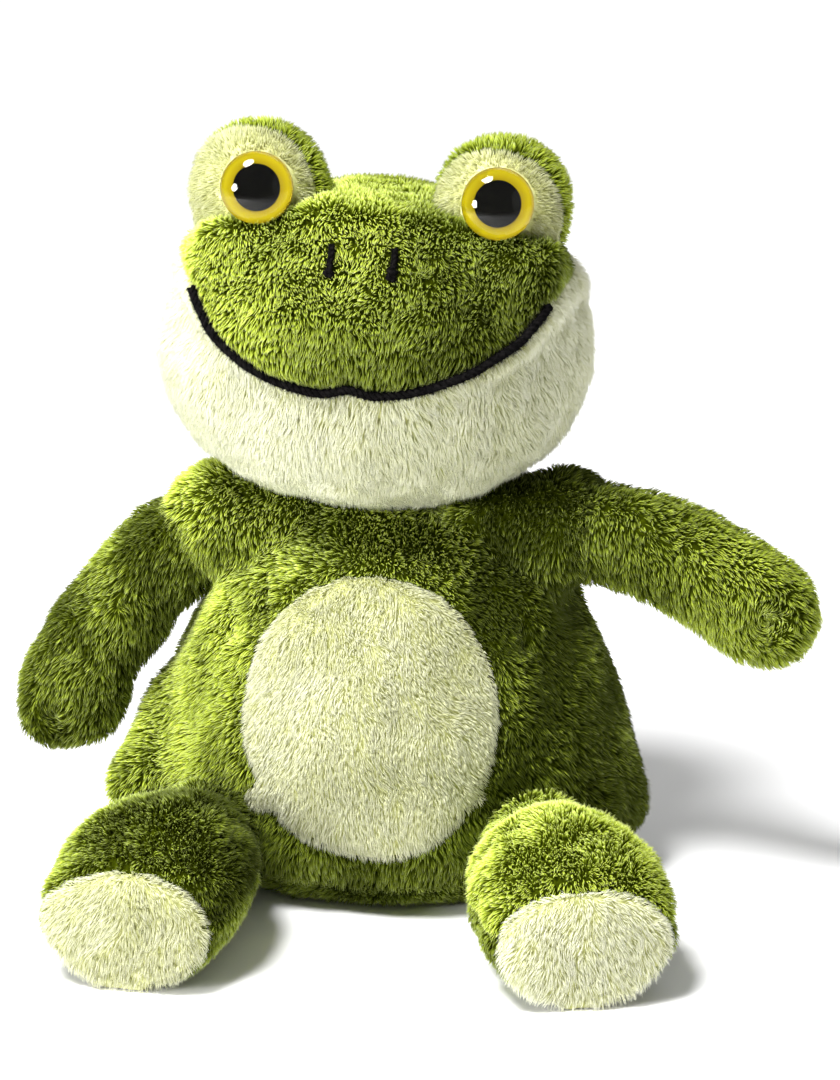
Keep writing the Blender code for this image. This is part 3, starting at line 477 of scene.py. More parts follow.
def cloth_material(name, dark, light):
    """Knitted backing cloth with the roots of the pile in it, in dark colours like the roots: partly painted
    shade at the bottom of the pile.
    """
    material = bpy.data.materials.new(name)
    tree, shader = nodes_of(material)
    noise = noise_of(tree, 900, 3)
    tree.links.new(ramp(tree, noise, ((0.3, dark), (0.7, light))), shader.inputs["Base Color"])
    bump = tree.nodes.new("ShaderNodeBump")
    bump.inputs["Strength"].default_value = 0.6
    bump.inputs["Distance"].default_value = 0.3 * MM
    tree.links.new(noise, bump.inputs["Height"])
    tree.links.new(bump.outputs["Normal"], shader.inputs["Normal"])
    shader.inputs["Roughness"].default_value = 0.9
    shader.inputs["Specular IOR Level"].default_value = 0.0
    return material


def plain_material(name, dark, light, roughness, scale, specular=0.5):
    material = bpy.data.materials.new(name)
    tree, shader = nodes_of(material)
    noise = noise_of(tree, scale, 4)
    tree.links.new(ramp(tree, noise, ((0.35, dark), (0.65, light))), shader.inputs["Base Color"])
    shader.inputs["Roughness"].default_value = roughness
    shader.inputs["Specular IOR Level"].default_value = specular
    return material


def lens_material():
    material = bpy.data.materials.new("lens_plastic")
    tree, shader = nodes_of(material)
    shader.inputs["Base Color"].default_value = (1.0, 0.98, 0.92, 1)
    shader.inputs["Transmission Weight"].default_value = 1
    shader.inputs["IOR"].default_value = 1.34
    shader.inputs["Specular IOR Level"].default_value = 0.03
    rough = tree.nodes.new("ShaderNodeMapRange")
    rough.inputs["To Min"].default_value = 0.0
    rough.inputs["To Max"].default_value = 0.04
    tree.links.new(noise_of(tree, 700), rough.inputs["Value"])
    tree.links.new(rough.outputs["Result"], shader.inputs["Roughness"])
    return material


def make_materials():
    return {
        "green_fur": fur_material("green_pile", GREEN_ALONG, GREEN_TONES),
        "cream_fur": fur_material("cream_pile", CREAM_ALONG, CREAM_TONES),
        "black_fur": fur_material("yarn_fuzz", ((0.0, YARN_DARK), (1.0, YARN_LIGHT)), GREEN_TONES),
        # The backing's dark colours are partly painted shade under the pile
        "green_cloth": cloth_material("green_backing", (0.018, 0.025, 0.001), (0.05, 0.065, 0.002)),
        "cream_cloth": cloth_material("cream_backing", (0.48, 0.50, 0.18), (0.66, 0.67, 0.34)),
        "yarn": plain_material("black_yarn", YARN_DARK, YARN_LIGHT, 1.0, 1500, 0.05),
        "seam": plain_material("seam_fabric", (0.03, 0.05, 0.006), (0.08, 0.11, 0.012), 0.9, 900),
        "iris": iris_material(),
        "pupil": plain_material("pupil_plastic", (0.001, 0.001, 0.001), (0.003, 0.003, 0.002), 0.5, 300, 0.0),
        "washer": plain_material("washer_plastic", (0.70, 0.70, 0.67), (0.80, 0.80, 0.78), 0.45, 500),
        "lens": lens_material(),
        "iris_back": plain_material("eye_back_plastic", (0.62, 0.40, 0.005), (0.70, 0.46, 0.008), 0.35, 400),
    }


def strands_mesh(name, roots, middles, tips, radius, shade):
    """Thin tapered strands with three sides, bent at the middle."""
    count = len(roots)
    low = unit(middles - roots)
    side = unit(np.cross(low, unit(np.roll(low, 1, axis=1) + 0.3)))
    other = np.cross(low, side)
    points = np.empty((count, STRAND_POINTS, 3))
    for k in range(3):
        angle = 2 * math.pi * k / 3
        spoke = side * math.cos(angle) + other * math.sin(angle)
        points[:, k] = roots + spoke * radius[:, None]
        points[:, 3 + k] = middles + spoke * radius[:, None] * 0.85
    points[:, 6] = tips
    faces = []
    corners = []
    for k in range(3):
        following = (k + 1) % 3
        faces.append((k, following, 3 + following, 3 + k))
        corners.append(((k, 0.02), (k + 1, 0.02), (k + 1, 0.5), (k, 0.5)))
    for k in range(3):
        faces.append((3 + k, 3 + (k + 1) % 3, 6))
        corners.append(((k, 0.5), (k + 1, 0.5), (k + 0.5, 0.98)))
    pattern = np.array([index for face in faces for index in face])
    starts = np.cumsum([0] + [len(face) for face in faces])[:-1]
    per = len(pattern)
    loops = (pattern[None] + STRAND_POINTS * np.arange(count)[:, None]).ravel()
    begin = (starts[None] + per * np.arange(count)[:, None]).ravel()
    flat = [corner for face in corners for corner in face]
    us = np.array([corner[0] for corner in flat]) * 0.006
    vs = np.array([corner[1] for corner in flat])
    uv = np.empty((count, per, 2))
    uv[:, :, 0] = (0.01 + 0.96 * np.clip(shade, 0, 1))[:, None] + us[None]
    uv[:, :, 1] = vs[None]
    mesh = bpy.data.meshes.new(name)
    mesh.vertices.add(count * STRAND_POINTS)
    mesh.vertices.foreach_set("co", points.ravel())
    mesh.loops.add(len(loops))
    mesh.loops.foreach_set("vertex_index", loops.astype(np.int32))
    mesh.polygons.add(len(begin))
    mesh.polygons.foreach_set("loop_start", begin.astype(np.int32))
    layer = mesh.uv_layers.new(name="OFBake")
    layer.data.foreach_set("uv", uv.ravel().astype(np.float32))
    mesh.update(calc_edges=True)
    mesh.shade_smooth()
    return mesh


def fur_pieces(name, body, slot, roots, middles, tips, radius, shade):
    """The strands as pieces of a limited size, cut in bands by height."""
    order = np.argsort(roots[:, 2], kind="stable")
    parts = max(1, math.ceil(len(order) / STRANDS_IN_PIECE))
    for k, chosen in enumerate(np.array_split(order, parts)):
        label = f"{name}_pile" if parts == 1 else f"{name}_pile_{k + 1}"
        mesh = strands_mesh(label, roots[chosen], middles[chosen], tips[chosen], radius[chosen], shade[chosen])
        dressed(placed(label, mesh), slot, body, slot)


def clumped(roots, tips, seed, pull):
    """Tips drawn towards the middle of their tuft."""
    warped = roots + waves(roots, 2.2 * MM, seed) * 0.35 * MM
    cells = np.floor(warped / CLUMP_SIZE).astype(np.int64)
    _, member = np.unique(cells, axis=0, return_inverse=True)
    member = member.ravel()
    number = np.bincount(member)
    middle = np.stack([np.bincount(member, weights=tips[:, k]) for k in range(3)], 1) / number[:, None]
    rng = np.random.default_rng(seed + 1)
    lively = rng.uniform(0.25, 1.0, len(number))[member] * pull
    return tips + (middle[member] - tips) * lively[:, None], rng.normal(size=len(number))[member]


def painted_shade_at(points, look):
    """How much painted shade darkens each point of a panel whose tone falls along one direction."""
    if "fade" not in look:
        return 0
    start, way, reach, drop = look["fade"]
    return drop * np.clip((points - np.array(start)) @ unit(np.array(way)) / reach, 0, 1)


def grow(cover, seed, comb, looks, bare=None, trim=None):
    """Pile all over a cover. looks has a dict for each panel, made by green() or cream()."""
    form = cover.form
    rng = np.random.default_rng(seed)
    a, b, c = (form.points[form.faces[:, k]] for k in range(3))
    area = np.linalg.norm(np.cross(b - a, c - a), axis=1) / 2
    density = max(look["density"] for look in looks)
    count = int(area.sum() / MM**2 * density)
    chosen = rng.choice(len(area), count, p=area / area.sum())
    r, s = rng.random(count), rng.random(count)
    over = r + s > 1
    r[over], s[over] = 1 - r[over], 1 - s[over]
    normals = form.normals()
    weights = np.stack([1 - r - s, r, s], 1)
    corners = form.faces[chosen]
    roots = (form.points[corners] * weights[:, :, None]).sum(1)
    outward = unit((normals[corners] * weights[:, :, None]).sum(1))
    reach = (cover.reach[corners] * weights[:, :, None]).sum(1)
    label = reach.argmin(1)
    seam = cover.seam_of(reach)
    keep = rng.random(count) < np.array([look["density"] for look in looks])[label] / density
    if bare is not None:
        keep &= ~bare(roots)
    roots, outward, label, seam = roots[keep], outward[keep], label[keep], seam[keep]
    count = len(roots)
    length = np.array([look["length"] for look in looks])[label] * rng.uniform(0.72, 1.12, count)
    way = comb(roots, label)
    way = way - outward * (way * outward).sum(1, keepdims=True)
    way = unit(way) + waves(roots, 9 * MM, seed + 2) * 0.30 + waves(roots, 3.2 * MM, seed + 3) * 0.22
    way += rng.normal(size=(count, 3)) * 0.14
    way = unit(way - outward * (way * outward).sum(1, keepdims=True))
    lean = np.array([look["lean"] for look in looks])[label]
    lean = np.radians(lean + 8 * waves(roots, 5 * MM, seed + 4)[:, 0] + rng.normal(size=count) * 7)
    bend = np.array([look["bend"] for look in looks])[label]
    if trim is not None:
        length = length * trim(roots, way)
    length = length * (SEAM_SHARE + (1 - SEAM_SHARE) * np.clip(seam / SEAM_REACH, 0, 1))
    rise = outward * np.cos(lean)[:, None] + way * np.sin(lean)[:, None]
    droop = unit(outward * np.cos(lean + bend)[:, None] + way * np.sin(lean + bend)[:, None])
    roots = roots - outward * ROOT_SINK
    middles = roots + rise * (length * 0.5)[:, None]
    tips = middles + droop * (length * 0.5)[:, None]
    tips, tuft = clumped(roots, tips, seed + 5, np.array([look["pull"] for look in looks])[label])
    middles = middles + (tips - (middles + droop * (length * 0.5)[:, None])) * 0.35
    zone = waves(roots, 16 * MM, seed + 6)[:, 0] * 0.12 + tuft * 0.09 + rng.normal(size=count) * 0.11
    for k, look in enumerate(looks):
        mask = label == k
        if not mask.any():
            continue
        radius = look["radius"] * rng.uniform(0.75, 1.2, mask.sum())
        # Each strand's tone: its panel's painted light, less its painted shade, with random variation by grain
        shade = np.clip(look["tone"] - painted_shade_at(roots[mask], look) + zone[mask] * look["grain"], 0, 1)
        strands = (part[mask] for part in (roots, middles, tips))
        fur_pieces(cover.panels[k], cover.body, look["slot"], *strands, radius, shade)


def green(**changes):
    """Long green pile: lean in degrees, bend in radians, pull of its tufts and grain of its tones."""
    look = {"slot": "green_fur", "length": GREEN_LENGTH, "radius": GREEN_RADIUS, "density": GREEN_DENSITY}
    return {**look, "lean": 27, "bend": 0.5, "pull": 0.85, "grain": 1, **changes}


def cream(**changes):
    """Finer cream pile with weaker tufts."""
    look = {"slot": "cream_fur", "length": CREAM_LENGTH, "radius": CREAM_RADIUS, "density": CREAM_DENSITY}
    return {**look, "lean": 27, "bend": 0.5, "pull": 0.38, "grain": 0.5, **changes}


def cord_line(name, key):
    """The middle line of a CAD tube: the mean of each ring of points along it."""
    points = node_points(name)
    order = np.argsort(key(points))
    values = key(points)[order]
    points = points[order]
    jumps = np.flatnonzero(np.diff(values) > (values[-1] - values[0]) / 80)
    rings = [ring.mean(0) for ring in np.split(points, jumps + 1)]
    return np.array(rings)


def resampled(line, step):
    line = np.asarray(line, float)
    gaps = np.linalg.norm(np.diff(line, axis=0), axis=1)
    at = np.concatenate([[0], np.cumsum(gaps)])
    count = max(int(at[-1] / step), 2)
    places = np.linspace(0, at[-1], count + 1)
    return np.stack([np.interp(places, at, line[:, k]) for k in range(3)], 1), places


def softened(line, rounds):
    for _ in range(rounds):
        line[1:-1] = line[1:-1] * 0.5 + (line[:-2] + line[2:]) * 0.25
    return line


def ply_yarn(name, line, places, ply, replaced):
    """A yarn of several twisted plies, as one mesh."""
    radius, offset, pitch = ply
    way = unit(np.gradient(line, axis=0))
    side = unit(np.cross(way, np.array([0.05, 0.2, 1.0])))
    other = np.cross(way, side)
    curve = bpy.data.curves.new(name, "CURVE")
    curve.dimensions = "3D"
    curve.bevel_depth = radius
    curve.bevel_resolution = 2
    curve.use_fill_caps = True
    for k in range(PLIES):
        turn = 2 * math.pi * (places / pitch + k / PLIES)
        path = line + (side * np.cos(turn)[:, None] + other * np.sin(turn)[:, None]) * offset
        spline = curve.splines.new("POLY")
        spline.points.add(len(path) - 1)
        for point, place in zip(spline.points, path):
            point.co = (*place, 1)
    source = placed(name + "_curve", curve)
    bpy.context.view_layer.update()
    mesh = bpy.data.meshes.new_from_object(source.evaluated_get(bpy.context.evaluated_depsgraph_get()))
    bpy.data.objects.remove(source)
    mesh.shade_smooth()
    mesh.materials.clear()
    dressed(placed(name, mesh), "yarn", "head", "black_yarn", replaced)


def fuzz(name, line, fibres, seed):
    """Loose fibres that stand out all round a yarn."""
    radius, per_mm, length = fibres
    rng = np.random.default_rng(seed)
    total = np.linalg.norm(np.diff(line, axis=0), axis=1).sum()
    count = int(total / MM * per_mm)
    at = rng.uniform(0, len(line) - 1.001, count)
    low = at.astype(int)
    share = (at - low)[:, None]
    middle = line[low] * (1 - share) + line[low + 1] * share
    way = unit(line[low + 1] - line[low])
    spoke = rng.normal(size=(count, 3))
    spoke = unit(spoke - way * (spoke * way).sum(1, keepdims=True))
    roots = middle + spoke * radius * 0.7
    bend = unit(spoke + way * rng.normal(size=(count, 1)) * 0.9)
    reach = length * rng.uniform(0.5, 1.1, count)
    middles = roots + unit(spoke + bend) * (reach * 0.5)[:, None]
    tips = middles + bend * (reach * 0.5)[:, None]
    shade = np.clip(0.5 + rng.normal(size=count) * 0.2, 0, 1)
    mesh = strands_mesh(name, roots, middles, tips, np.full(count, FIBRE_RADIUS), shade)
    dressed(placed(name, mesh), "black_fur", "head", "black_yarn")


def revolved(name, profile, origin, turn, uv_by_radius=False):
    """A profile of (radius, height) points turned about an axis, with round ends where the radius is 0."""
    bm = bmesh.new()
    rings = []
    for radius, height in profile:
        if radius == 0:
            rings.append([bm.verts.new((0, 0, height))])
            continue
        ring = []
        for k in range(ROUND_STEPS):
            angle = 2 * math.pi * k / ROUND_STEPS
            ring.append(bm.verts.new((radius * math.cos(angle), radius * math.sin(angle), height)))
        rings.append(ring)
    reach = max(radius for radius, _ in profile)
    for near, far in zip(rings, rings[1:]):
        for k in range(ROUND_STEPS):
            following = (k + 1) % ROUND_STEPS
            below = [near[k % len(near)], near[following % len(near)]]
            above = [far[following % len(far)], far[k % len(far)]]
            unique = list(dict.fromkeys(below + above))
            if len(unique) > 2:
                bm.faces.new(unique)
    bmesh.ops.recalc_face_normals(bm, faces=bm.faces)
    if uv_by_radius:
        layer = bm.loops.layers.uv.new("OFBake")
        for face in bm.faces:
            centre = face.calc_center_median()
            middle = (math.atan2(centre.y, centre.x) / (2 * math.pi)) % 1
            for loop in face.loops:
                x, y, _ = loop.vert.co
                radius = math.hypot(x, y)
                angle = (math.atan2(y, x) / (2 * math.pi)) % 1 if radius > 0 else middle
                angle += round(middle - angle)
                loop[layer].uv = (0.02 + 0.96 * angle, radius / reach)
    bm.transform(Matrix.Translation(origin) @ turn.to_4x4())
    mesh = bpy.data.meshes.new(name)
    bm.to_mesh(mesh)
    bm.free()
    mesh.shade_smooth()
    mesh.set_sharp_from_angle(angle=math.radians(40))
    return placed(name, mesh)


def eye_axis(name):
    """The eye's middle on its seat, the way it faces, and the lens's lower and upper heights and radius."""
    lens = np.unique(np.round(node_points(f"eye_lens_{name}"), 7), axis=0)
    centre = lens.mean(0)
    way = np.linalg.svd(lens - centre)[2][2]
    way = way * -np.sign(way[1])
    along = (lens - centre) @ way
    radius = np.linalg.norm(lens - centre - along[:, None] * way, axis=1).max()
    return centre, way, along.min(), along.max(), radius


def lens_profile(low, high, radius):
    """The clear dome on its short straight rim."""
    rim = low + LENS_RIM
    dome = [(0.0, low), (radius * 0.97, low), (radius, low + 0.1 * MM), (radius, rim)]
    steps = 22
    for k in range(1, steps):
        angle = math.pi / 2 * k / steps
        dome.append((radius * math.cos(angle), rim + (high - rim) * math.sin(angle)))
    return dome + [(0.0, high)]


def iris_profile(plate, radius):
    rings = 14
    return [(radius * IRIS_SHARE * k / rings, plate) for k in range(rings + 1)]


def pupil_profile(disc, radius):
    """A thin disc with a rounded upper edge."""
    top = disc + PUPIL_THICK
    return [(0.0, top), (radius * 0.96, top), (radius, disc + 0.04 * MM), (radius, disc)]


def back_profile(low, radius):
    """The plate of the same moulding that closes the eye behind the iris."""
    bottom, top = low - BACK_THICK, low - 0.05 * MM
    return [(0.0, bottom), (radius * BACK_SHARE, bottom), (radius, bottom + 0.2 * MM), (radius, top), (0.0, top)]


def make_eye(name):
    centre, way, low, high, radius = eye_axis(name)
    turn = Vector(way).to_track_quat("Z", "Y").to_matrix()
    origin = Vector(centre)
    plate = low + IRIS_HEIGHT
    lens = revolved(f"eye_lens_dome_{name}", lens_profile(low, high, radius), origin, turn)
    dressed(lens, "lens", "head", "eye_lens", f"eye_lens_{name}")
    iris = revolved(f"eye_iris_disc_{name}", iris_profile(plate, radius), origin, turn, True)
    dressed(iris, "iris", "head", "eye_iris", f"eye_iris_{name}")
    disc = pupil_profile(plate + PUPIL_RISE, radius * PUPIL_SHARE)
    pupil = revolved(f"eye_pupil_disc_{name}", disc, origin, turn)
    dressed(pupil, "pupil", "head", "eye_pupil", f"eye_pupil_{name}")
    back = revolved(f"eye_back_plate_{name}", back_profile(low, radius), origin, turn)
    dressed(back, "iris_back", "head", "eye_iris")
    return centre, way, radius


def near_axis(points, eye, reach):
    centre, way, _ = eye
    gap = points - centre
    along = gap @ way
    return (np.linalg.norm(gap - along[:, None] * way, axis=1) < reach) & (along > -6 * MM)


def add_solid(bm, other):
    mesh = bpy.data.meshes.new("addition")
    other.to_mesh(mesh)
    other.free()
    bm.from_mesh(mesh)
    bpy.data.meshes.remove(mesh)


def mouth_gap(points, mouth, azimuth):
    """Height of each point over the mouth's line, which climbs on past both corners, and nan beyond."""
    angles = azimuth(points)
    along = azimuth(mouth)
    right, left = along[0] - angles, angles - along[-1]
    past = np.maximum(np.maximum(right, left), 0)
    gap = points[:, 2] - np.interp(angles, along, mouth[:, 2]) - past * CORNER_CLIMB
    gap[(right > CORNER_REACH["right"]) | (left > CORNER_REACH["left"])] = np.nan
    return gap


def laid_on(form, line, sink):
    """A line brought to the nearest places on a form's outside, and sunk into it."""
    surface = BVHTree.FromPolygons(form.outside.tolist(), form.faces.tolist())
    nearest = [surface.find_nearest(Vector(point))[:2] for point in line.tolist()]
    return np.array([place - normal * sink for place, normal in nearest])


def nostril_line(name, form):
    """The stitch's line, laid on the pile's outside."""
    surface = BVHTree.FromPolygons(form.outside.tolist(), form.faces.tolist())
    line = []
    for point in cord_line(f"nostril_stitch_{name}", lambda p: p[:, 2]).tolist():
        place, normal, _, _ = surface.ray_cast(Vector(point) + Vector((0, -10 * MM, 0)), Vector((0, 1, 0)))
        line.append(place - normal * YARN_SINK)
    return np.array(line)


def make_head():
    pivot = np.array(JOINTS["head_nod"]["pos_m"])

    def azimuth(points):
        return np.arctan2(points[:, 0] - pivot[0], -(points[:, 1] - pivot[1]))

    mouth = cord_line("mouth_cord", azimuth)
    mouth, _ = resampled(mouth, 0.35 * MM)
    mouth = softened(mouth, 30)
    across = mouth[:, 0] * math.cos(VIEW_AZIMUTH) + mouth[:, 1] * math.sin(VIEW_AZIMUTH)
    places, lifts = zip(*MOUTH_LIFT)
    mouth[:, 2] += np.interp(across, places, lifts)
    names = ["crown_panel", "chin_panel", "head_back_panel", "head_stuffing"]
    eyes = {name: make_eye(name) for name in SIDES}
    brow = [eyes[name][0] + np.array(place) * (-SIDES[name], 1, 1) for name in SIDES for place in BROW]
    bm = joined(names)
    back = node_points("head_back_panel")
    top = back[back[:, 2] > back[:, 2].max() - CROWN_TOP]
    add_solid(bm, hull_of(np.concatenate([node_points("crown_panel"), mouth, brow, top, [CROWN_CORNER]])))
    form = Form("head_form", bm, rounds=10)
    cover = Cover(form, names[:3], "head", part_at=lambda points: mouth_gap(points, mouth, azimuth))
    mouth = softened(laid_on(form, mouth, YARN_SINK), 12)
    notch = np.exp(-(((mouth[:, 0] - mouth[len(mouth) // 2, 0] + NOTCH_PLACE) / NOTCH_WIDTH) ** 2))
    mouth[:, 2] += notch * NOTCH_RISE
    cover.press(mouth, *MOUTH_PRESS)
    middle = mouth[notch.argmax()]
    cover.press(middle + np.array(DART), *DART_PRESS)
    cover.ruffle(*HEAD_WAVES)
    cover.skins(["green_fur", "cream_fur", "green_fur"], ["head_stuffing"])
    nostrils = {name: nostril_line(name, form) for name in SIDES}

    def comb(roots, label):
        from_middle = roots - middle
        way = np.zeros_like(roots)
        way[:, 2] = -1
        crown = label == 0
        way[crown, 0] = -from_middle[crown, 0] * 22 * np.exp(-np.maximum(from_middle[crown, 2], 0) / 0.012)
        way[crown, 1] = -0.9
        chin = label == 1
        way[chin, 0] = from_middle[chin, 0] * 14
        way[chin, 1] = 0.1
        back = label == 2
        way[back, 1] = 0.5
        return way

    def bare(roots):
        out = line_distance(roots, mouth) < MOUTH_BARE
        for eye in eyes.values():
            out |= near_axis(roots, eye, eye[2])
        for line in nostrils.values():
            out |= line_distance(roots, line) < NOSTRIL_BARE
        return out

    def trim(roots, way):
        ahead = line_distance(roots + way * 1.2 * MM, mouth)
        out = np.clip((np.minimum(ahead, line_distance(roots, mouth)) + 0.5 * MM) / (2.4 * MM), 0.45, 1)
        for line in nostrils.values():
            ahead = line_distance(roots + way * 1.5 * MM, line)
            out = np.minimum(out, np.clip(ahead / (2.0 * MM), 0.3, 1))
        return out

    # Painted light and shade: each panel's tone sets how light its pile is, and its painted shade darkens it
    # along one way
    looks = [
        green(tone=0.97, fade=CROWN_PAINTED_SHADE, lean=23, bend=0.42, density=11),
        cream(tone=0.9, fade=CHIN_PAINTED_SHADE, length=3.1 * MM, lean=36, pull=0.6),
        green(tone=0.5, fade=NAPE_PAINTED_SHADE),
    ]
    grow(cover, 100, comb, looks, bare, trim)
    line, places = resampled(mouth, 0.25 * MM)
    ply_yarn("mouth_yarn", line, places, MOUTH_PLY, "mouth_cord")
    fuzz("mouth_yarn_fuzz", line, MOUTH_FUZZ, 301)
    for name in SIDES:
        line, places = resampled(nostrils[name], 0.15 * MM)
        ply_yarn(f"nostril_yarn_{name}", line, places, NOSTRIL_PLY, f"nostril_stitch_{name}")
        fuzz(f"nostril_fuzz_{name}", line, NOSTRIL_FUZZ, 310 + SIDES[name])
    for name in SIDES:
        make_mound(name, eyes[name], cover.form.tree())


def make_mound(name, eye, head_tree):
    side = SIDES[name]
    panels = [f"eye_patch_{name}", f"eye_hood_{name}"]
    outer = np.concatenate([node_points(panel) for panel in panels])
    deeper = outer + np.array([-side * 0.002, 0.001, -0.006])
    form = Form(f"mound_form_{name}", hull_of(np.concatenate([outer, deeper])), voxel=0.8 * MM, rounds=10)
    cover = Cover(form, panels, "head")
    cover.skins(["cream_fur", "green_fur"], [f"eye_filling_{name}"])

    def buried(roots):
        out = np.empty(len(roots), bool)
        for k, root in enumerate(roots.tolist()):
            place, normal, _, _ = head_tree.find_nearest(root)
            out[k] = (Vector(root) - place).dot(normal) < -0.6 * MM
        return out

    def comb(roots, label):
        way = roots - (eye[0] - eye[1] * 0.004)
        way = unit(way)
        way[:, 2] -= 0.25
        hood = label == 1
        way[hood, 1] += 0.9
        return way

    def bare(roots):
        return near_axis(roots, eye, eye[2] + 0.1 * MM) | buried(roots)

    def trim(roots, way):
        gap = roots - eye[0]
        gap = np.linalg.norm(gap - (gap @ eye[1])[:, None] * eye[1], axis=1) - eye[2]
        return np.clip(0.6 + gap / (4 * MM), 0.6, 1)

    # Painted light and shade: each panel's tone sets how light its pile is
    looks = [cream(length=2.0 * MM, tone=0.08), green(length=2.2 * MM, tone=0.62)]
    grow(cover, 200 + side, comb, looks, bare, trim)


def add_shoulder(bm, outer, inner):
    """A round shoulder from the arm's turning point into the torso."""
    for k in range(SHOULDER_BALLS):
        share = k / (SHOULDER_BALLS - 1)
        radius = SHOULDER_RADII[0] * (1 - share) + SHOULDER_RADII[1] * share
        place = Matrix.Translation(outer.lerp(inner, share))
        bmesh.ops.create_icosphere(bm, subdivisions=4, radius=radius, matrix=place)


def add_hip(bm, name):
    """The slope from the torso's side out to the leg."""
    pivot = Vector(JOINTS[f"leg_raise_{name}"]["pos_m"])
    balls = bmesh.new()
    for out, place, radius in zip(HIP_OUT[name], HIP_PLACES, HIP_RADII):
        middle = pivot + Vector((SIDES[name] * out, *place))
        bmesh.ops.create_icosphere(balls, subdivisions=3, radius=radius, matrix=Matrix.Translation(middle))
    points = np.array([vert.co[:] for vert in balls.verts])
    balls.free()
    add_solid(bm, hull_of(points))


def make_torso():
    panels = ["torso_front_panel", "torso_back_panel", "seat_panel", "belly_patch"]
    outer = np.concatenate([node_points(panel) for panel in panels])
    bm = hull_of(outer)
    for name, side in SIDES.items():
        pivot = Vector(JOINTS[f"arm_raise_{name}"]["pos_m"])
        add_shoulder(bm, pivot, pivot - Vector(SHOULDER_WAY) * Vector((side, 1, 1)))
        add_hip(bm, name)
    form = Form("torso_form", bm, rounds=12)
    cover = Cover(form, panels, "torso")
    cover.rest(REST_BELOW["torso"])
    for name, side in SIDES.items():
        for start, end, depth in SHOULDER_FOLDS:
            pivot = np.array(JOINTS[f"arm_raise_{name}"]["pos_m"])
            cover.press(pivot + np.array([start, end]) * (side, 1, 1), depth, FOLD_WIDTH)
    cover.ruffle(*TORSO_WAVES)
    cover.skins(["green_fur", "green_fur", "green_fur", "cream_fur"], ["torso_stuffing", "pellet_bag"])

    def comb(roots, label):
        way = np.zeros_like(roots)
        way[:, 2] = -1
        way[:, 0] = roots[:, 0] * 8
        way[label == 3, 0] = 0.15 + roots[label == 3, 0] * 6
        low = roots[:, 2] < 6 * MM
        way[low, :2] += unit(roots[low, :2] + 1e-9) * 2
        return way

    def bare(roots):
        return roots[:, 2] < BARE_BELOW

    # Painted light and shade: each panel's tone sets how light its pile is, and its painted shade darkens it
    # along one way
    looks = [
        # The front's wide grain scatters bright strands over its dark side: partly painted glints
        green(tone=0.74, fade=TORSO_PAINTED_SHADE, lean=21, bend=0.4, grain=2.1),
        green(tone=0.6, fade=TORSO_PAINTED_SHADE, grain=1.5),
        green(tone=0.3),
        cream(tone=0.5, fade=BELLY_PAINTED_SHADE),
    ]
    grow(cover, 400, comb, looks, bare)


def make_arm(name):
    side = SIDES[name]
    panels = [f"arm_front_panel_{name}", f"arm_back_panel_{name}"]
    form = Form(f"arm_form_{name}", joined(panels + [f"arm_stuffing_{name}"]), voxel=1.0 * MM, rounds=10)
    cover = Cover(form, panels, f"arm_{name}")
    size, height, seed = ARM_WAVES
    cover.ruffle(size, height, seed + side)
    pivot = np.array(JOINTS[f"arm_raise_{name}"]["pos_m"])
    tip = form.points[np.linalg.norm(form.points - pivot, axis=1).argmax()]
    outward = unit(tip - pivot)
    wanted = tip - outward * WHORL_PLACE[0] + [0, -WHORL_PLACE[1], 0]
    whorl = form.points[np.linalg.norm(form.points - wanted, axis=1).argmin()]
    cover.press(np.array([whorl, whorl + outward * 0.5 * MM]), *WHORL_PRESS)
    cover.skins(["green_fur", "green_fur"], [f"arm_stuffing_{name}"])

    def comb(roots, label):
        way = unit(roots - (pivot + [0, 0, 0.012]))
        way[:, 2] -= 0.55
        around = roots - whorl
        near = np.exp(-((np.linalg.norm(around, axis=1) / WHORL_RADIUS) ** 2))[:, None]
        around = unit(around)
        return way * (1 - near) + (np.cross(outward, around) * 0.9 - around * 0.5) * near

    # Painted shade that darkens the arm's pile towards the shoulder
    start, reach = ARM_PAINTED_SHADE
    fade = (pivot + outward * start, -outward, reach, ARM_SHADE_DROP[name])
    # Painted light: the tone, lighter or darker for each side, sets how light the arm's pile is
    looks = [
        green(tone=ARM_PAINTED_LIGHT[name], fade=fade, lean=23, bend=0.45, grain=1.5),
        green(tone=ARM_PAINTED_LIGHT[name], fade=fade, grain=1.5),
    ]
    grow(cover, 500 + side, comb, looks)


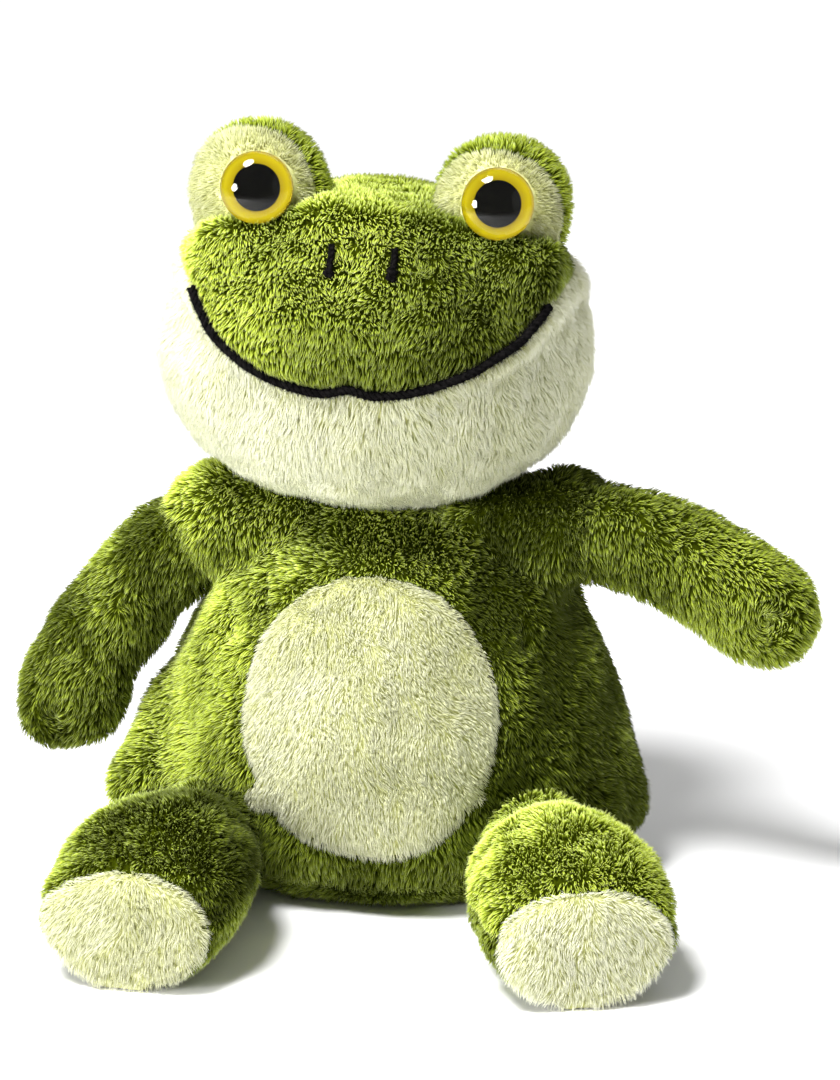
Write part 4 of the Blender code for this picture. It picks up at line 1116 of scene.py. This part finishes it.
def make_leg(name):
    side = SIDES[name]
    panels = [f"leg_upper_panel_{name}", f"leg_lower_panel_{name}", f"sole_panel_{name}"]
    fills = [f"leg_stuffing_{name}", f"foot_pellets_{name}"]
    form = Form(f"leg_form_{name}", joined(panels + fills), voxel=1.0 * MM, rounds=10)
    cover = Cover(form, panels, f"leg_{name}")
    cover.rest(REST_BELOW["leg"])
    size, height, seed = LEG_WAVES
    cover.ruffle(size, height, seed + side)
    cover.skins(["green_fur", "green_fur", "cream_fur"], fills)
    low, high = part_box(f"sole_panel_{name}")
    middle = np.array((low + high) / 2)

    def comb(roots, label):
        way = np.zeros_like(roots)
        way[:, 1] = -1
        way[:, 2] = -0.5
        sole = label == 2
        out = roots[sole] - middle
        way[sole] = unit(out) * 0.4
        way[sole, 2] -= 0.8
        return way

    def bare(roots):
        return roots[:, 2] < BARE_BELOW

    # Painted shade that darkens the leg's pile across it, towards +x
    inward, up, reach = LEG_PAINTED_SHADE
    fade = ((middle[0] - inward, 0, up), (1, 0, 0.3), reach, LEG_SHADE_DROP[name])
    # Painted light: the tones, lighter or darker for each side, set how light the leg's and the sole's pile is
    looks = [
        green(tone=LEG_PAINTED_LIGHT[name], fade=fade, lean=23, bend=0.45, grain=1.5),
        green(tone=0.4),
        cream(tone=SOLE_PAINTED_LIGHT[name]),
    ]
    grow(cover, 600 + side, comb, looks, bare)


def carry_over():
    """CAD nodes that stay as they are: seams in the joints and the washers inside the eyes."""
    for name, obj in NODES.items():
        material = None
        if name.endswith("_seam") or "_seam_" in name:
            material = "seam"
        elif "washer" in name:
            material = "washer"
        if material:
            obj.data.materials.clear()
            obj.data.materials.append(MATERIALS[material])
            obj.data.shade_smooth()


def make_stage():
    """A pale floor that curves up into the backdrop."""
    mesh = bpy.data.meshes.new("floor")
    steps = 24
    profile = [(-BACKDROP_SIZE, 0.0)]
    for k in range(steps + 1):
        angle = math.pi / 2 * k / steps
        rise = BACKDROP_CURVE - BACKDROP_CURVE * math.cos(angle)
        profile.append((BACKDROP_RISE + BACKDROP_CURVE * math.sin(angle), rise))
    profile.append((BACKDROP_RISE + BACKDROP_CURVE, BACKDROP_SIZE))
    verts = [(x, y, z) for y, z in profile for x in (-BACKDROP_SIZE, BACKDROP_SIZE)]
    faces = [(2 * k, 2 * k + 1, 2 * k + 3, 2 * k + 2) for k in range(len(profile) - 1)]
    mesh.from_pydata(verts, [], faces)
    mesh.shade_smooth()
    floor = placed("floor", mesh)
    material = bpy.data.materials.new("backdrop")
    _, shader = nodes_of(material)
    shader.inputs["Base Color"].default_value = (BACKDROP_GREY, BACKDROP_GREY, BACKDROP_GREY, 1)
    shader.inputs["Roughness"].default_value = 0.9
    mesh.materials.append(material)


def lamp(name, place, size, power):
    data = bpy.data.lights.new(name, "AREA")
    data.shape = "ELLIPSE"
    data.size, data.size_y = size
    data.energy = power
    obj = placed(name, data)
    obj.location = place
    obj.rotation_euler = (Vector(place) - Vector(LAMP_TARGET)).to_track_quat("Z", "Y").to_euler()


def make_light():
    world = bpy.data.worlds.new("studio")
    bpy.context.scene.world = world
    world.use_nodes = True
    background = world.node_tree.nodes["Background"]
    background.inputs["Color"].default_value = (1, 1, 1, 1)
    background.inputs["Strength"].default_value = SKY_STRENGTH
    for name, (place, size, power) in LAMPS.items():
        lamp(name, place, size, power)


def make_camera():
    data = bpy.data.cameras.new("camera")
    data.lens = LENS
    data.sensor_width = SENSOR
    data.clip_start = 0.01
    obj = placed("camera", data)
    back = Vector((
        math.sin(VIEW_AZIMUTH) * math.cos(VIEW_ELEVATION),
        -math.cos(VIEW_AZIMUTH) * math.cos(VIEW_ELEVATION),
        math.sin(VIEW_ELEVATION),
    ))
    obj.location = VIEW_TARGET + back * VIEW_DISTANCE
    obj.rotation_euler = back.to_track_quat("Z", "Y").to_euler()
    bpy.context.scene.camera = obj


MATERIALS = make_materials()
make_torso()
for side_name in SIDES:
    make_arm(side_name)
    make_leg(side_name)
make_head()
carry_over()
make_stage()
make_light()
make_camera()
bpy.context.scene.view_settings.view_transform = "Standard"
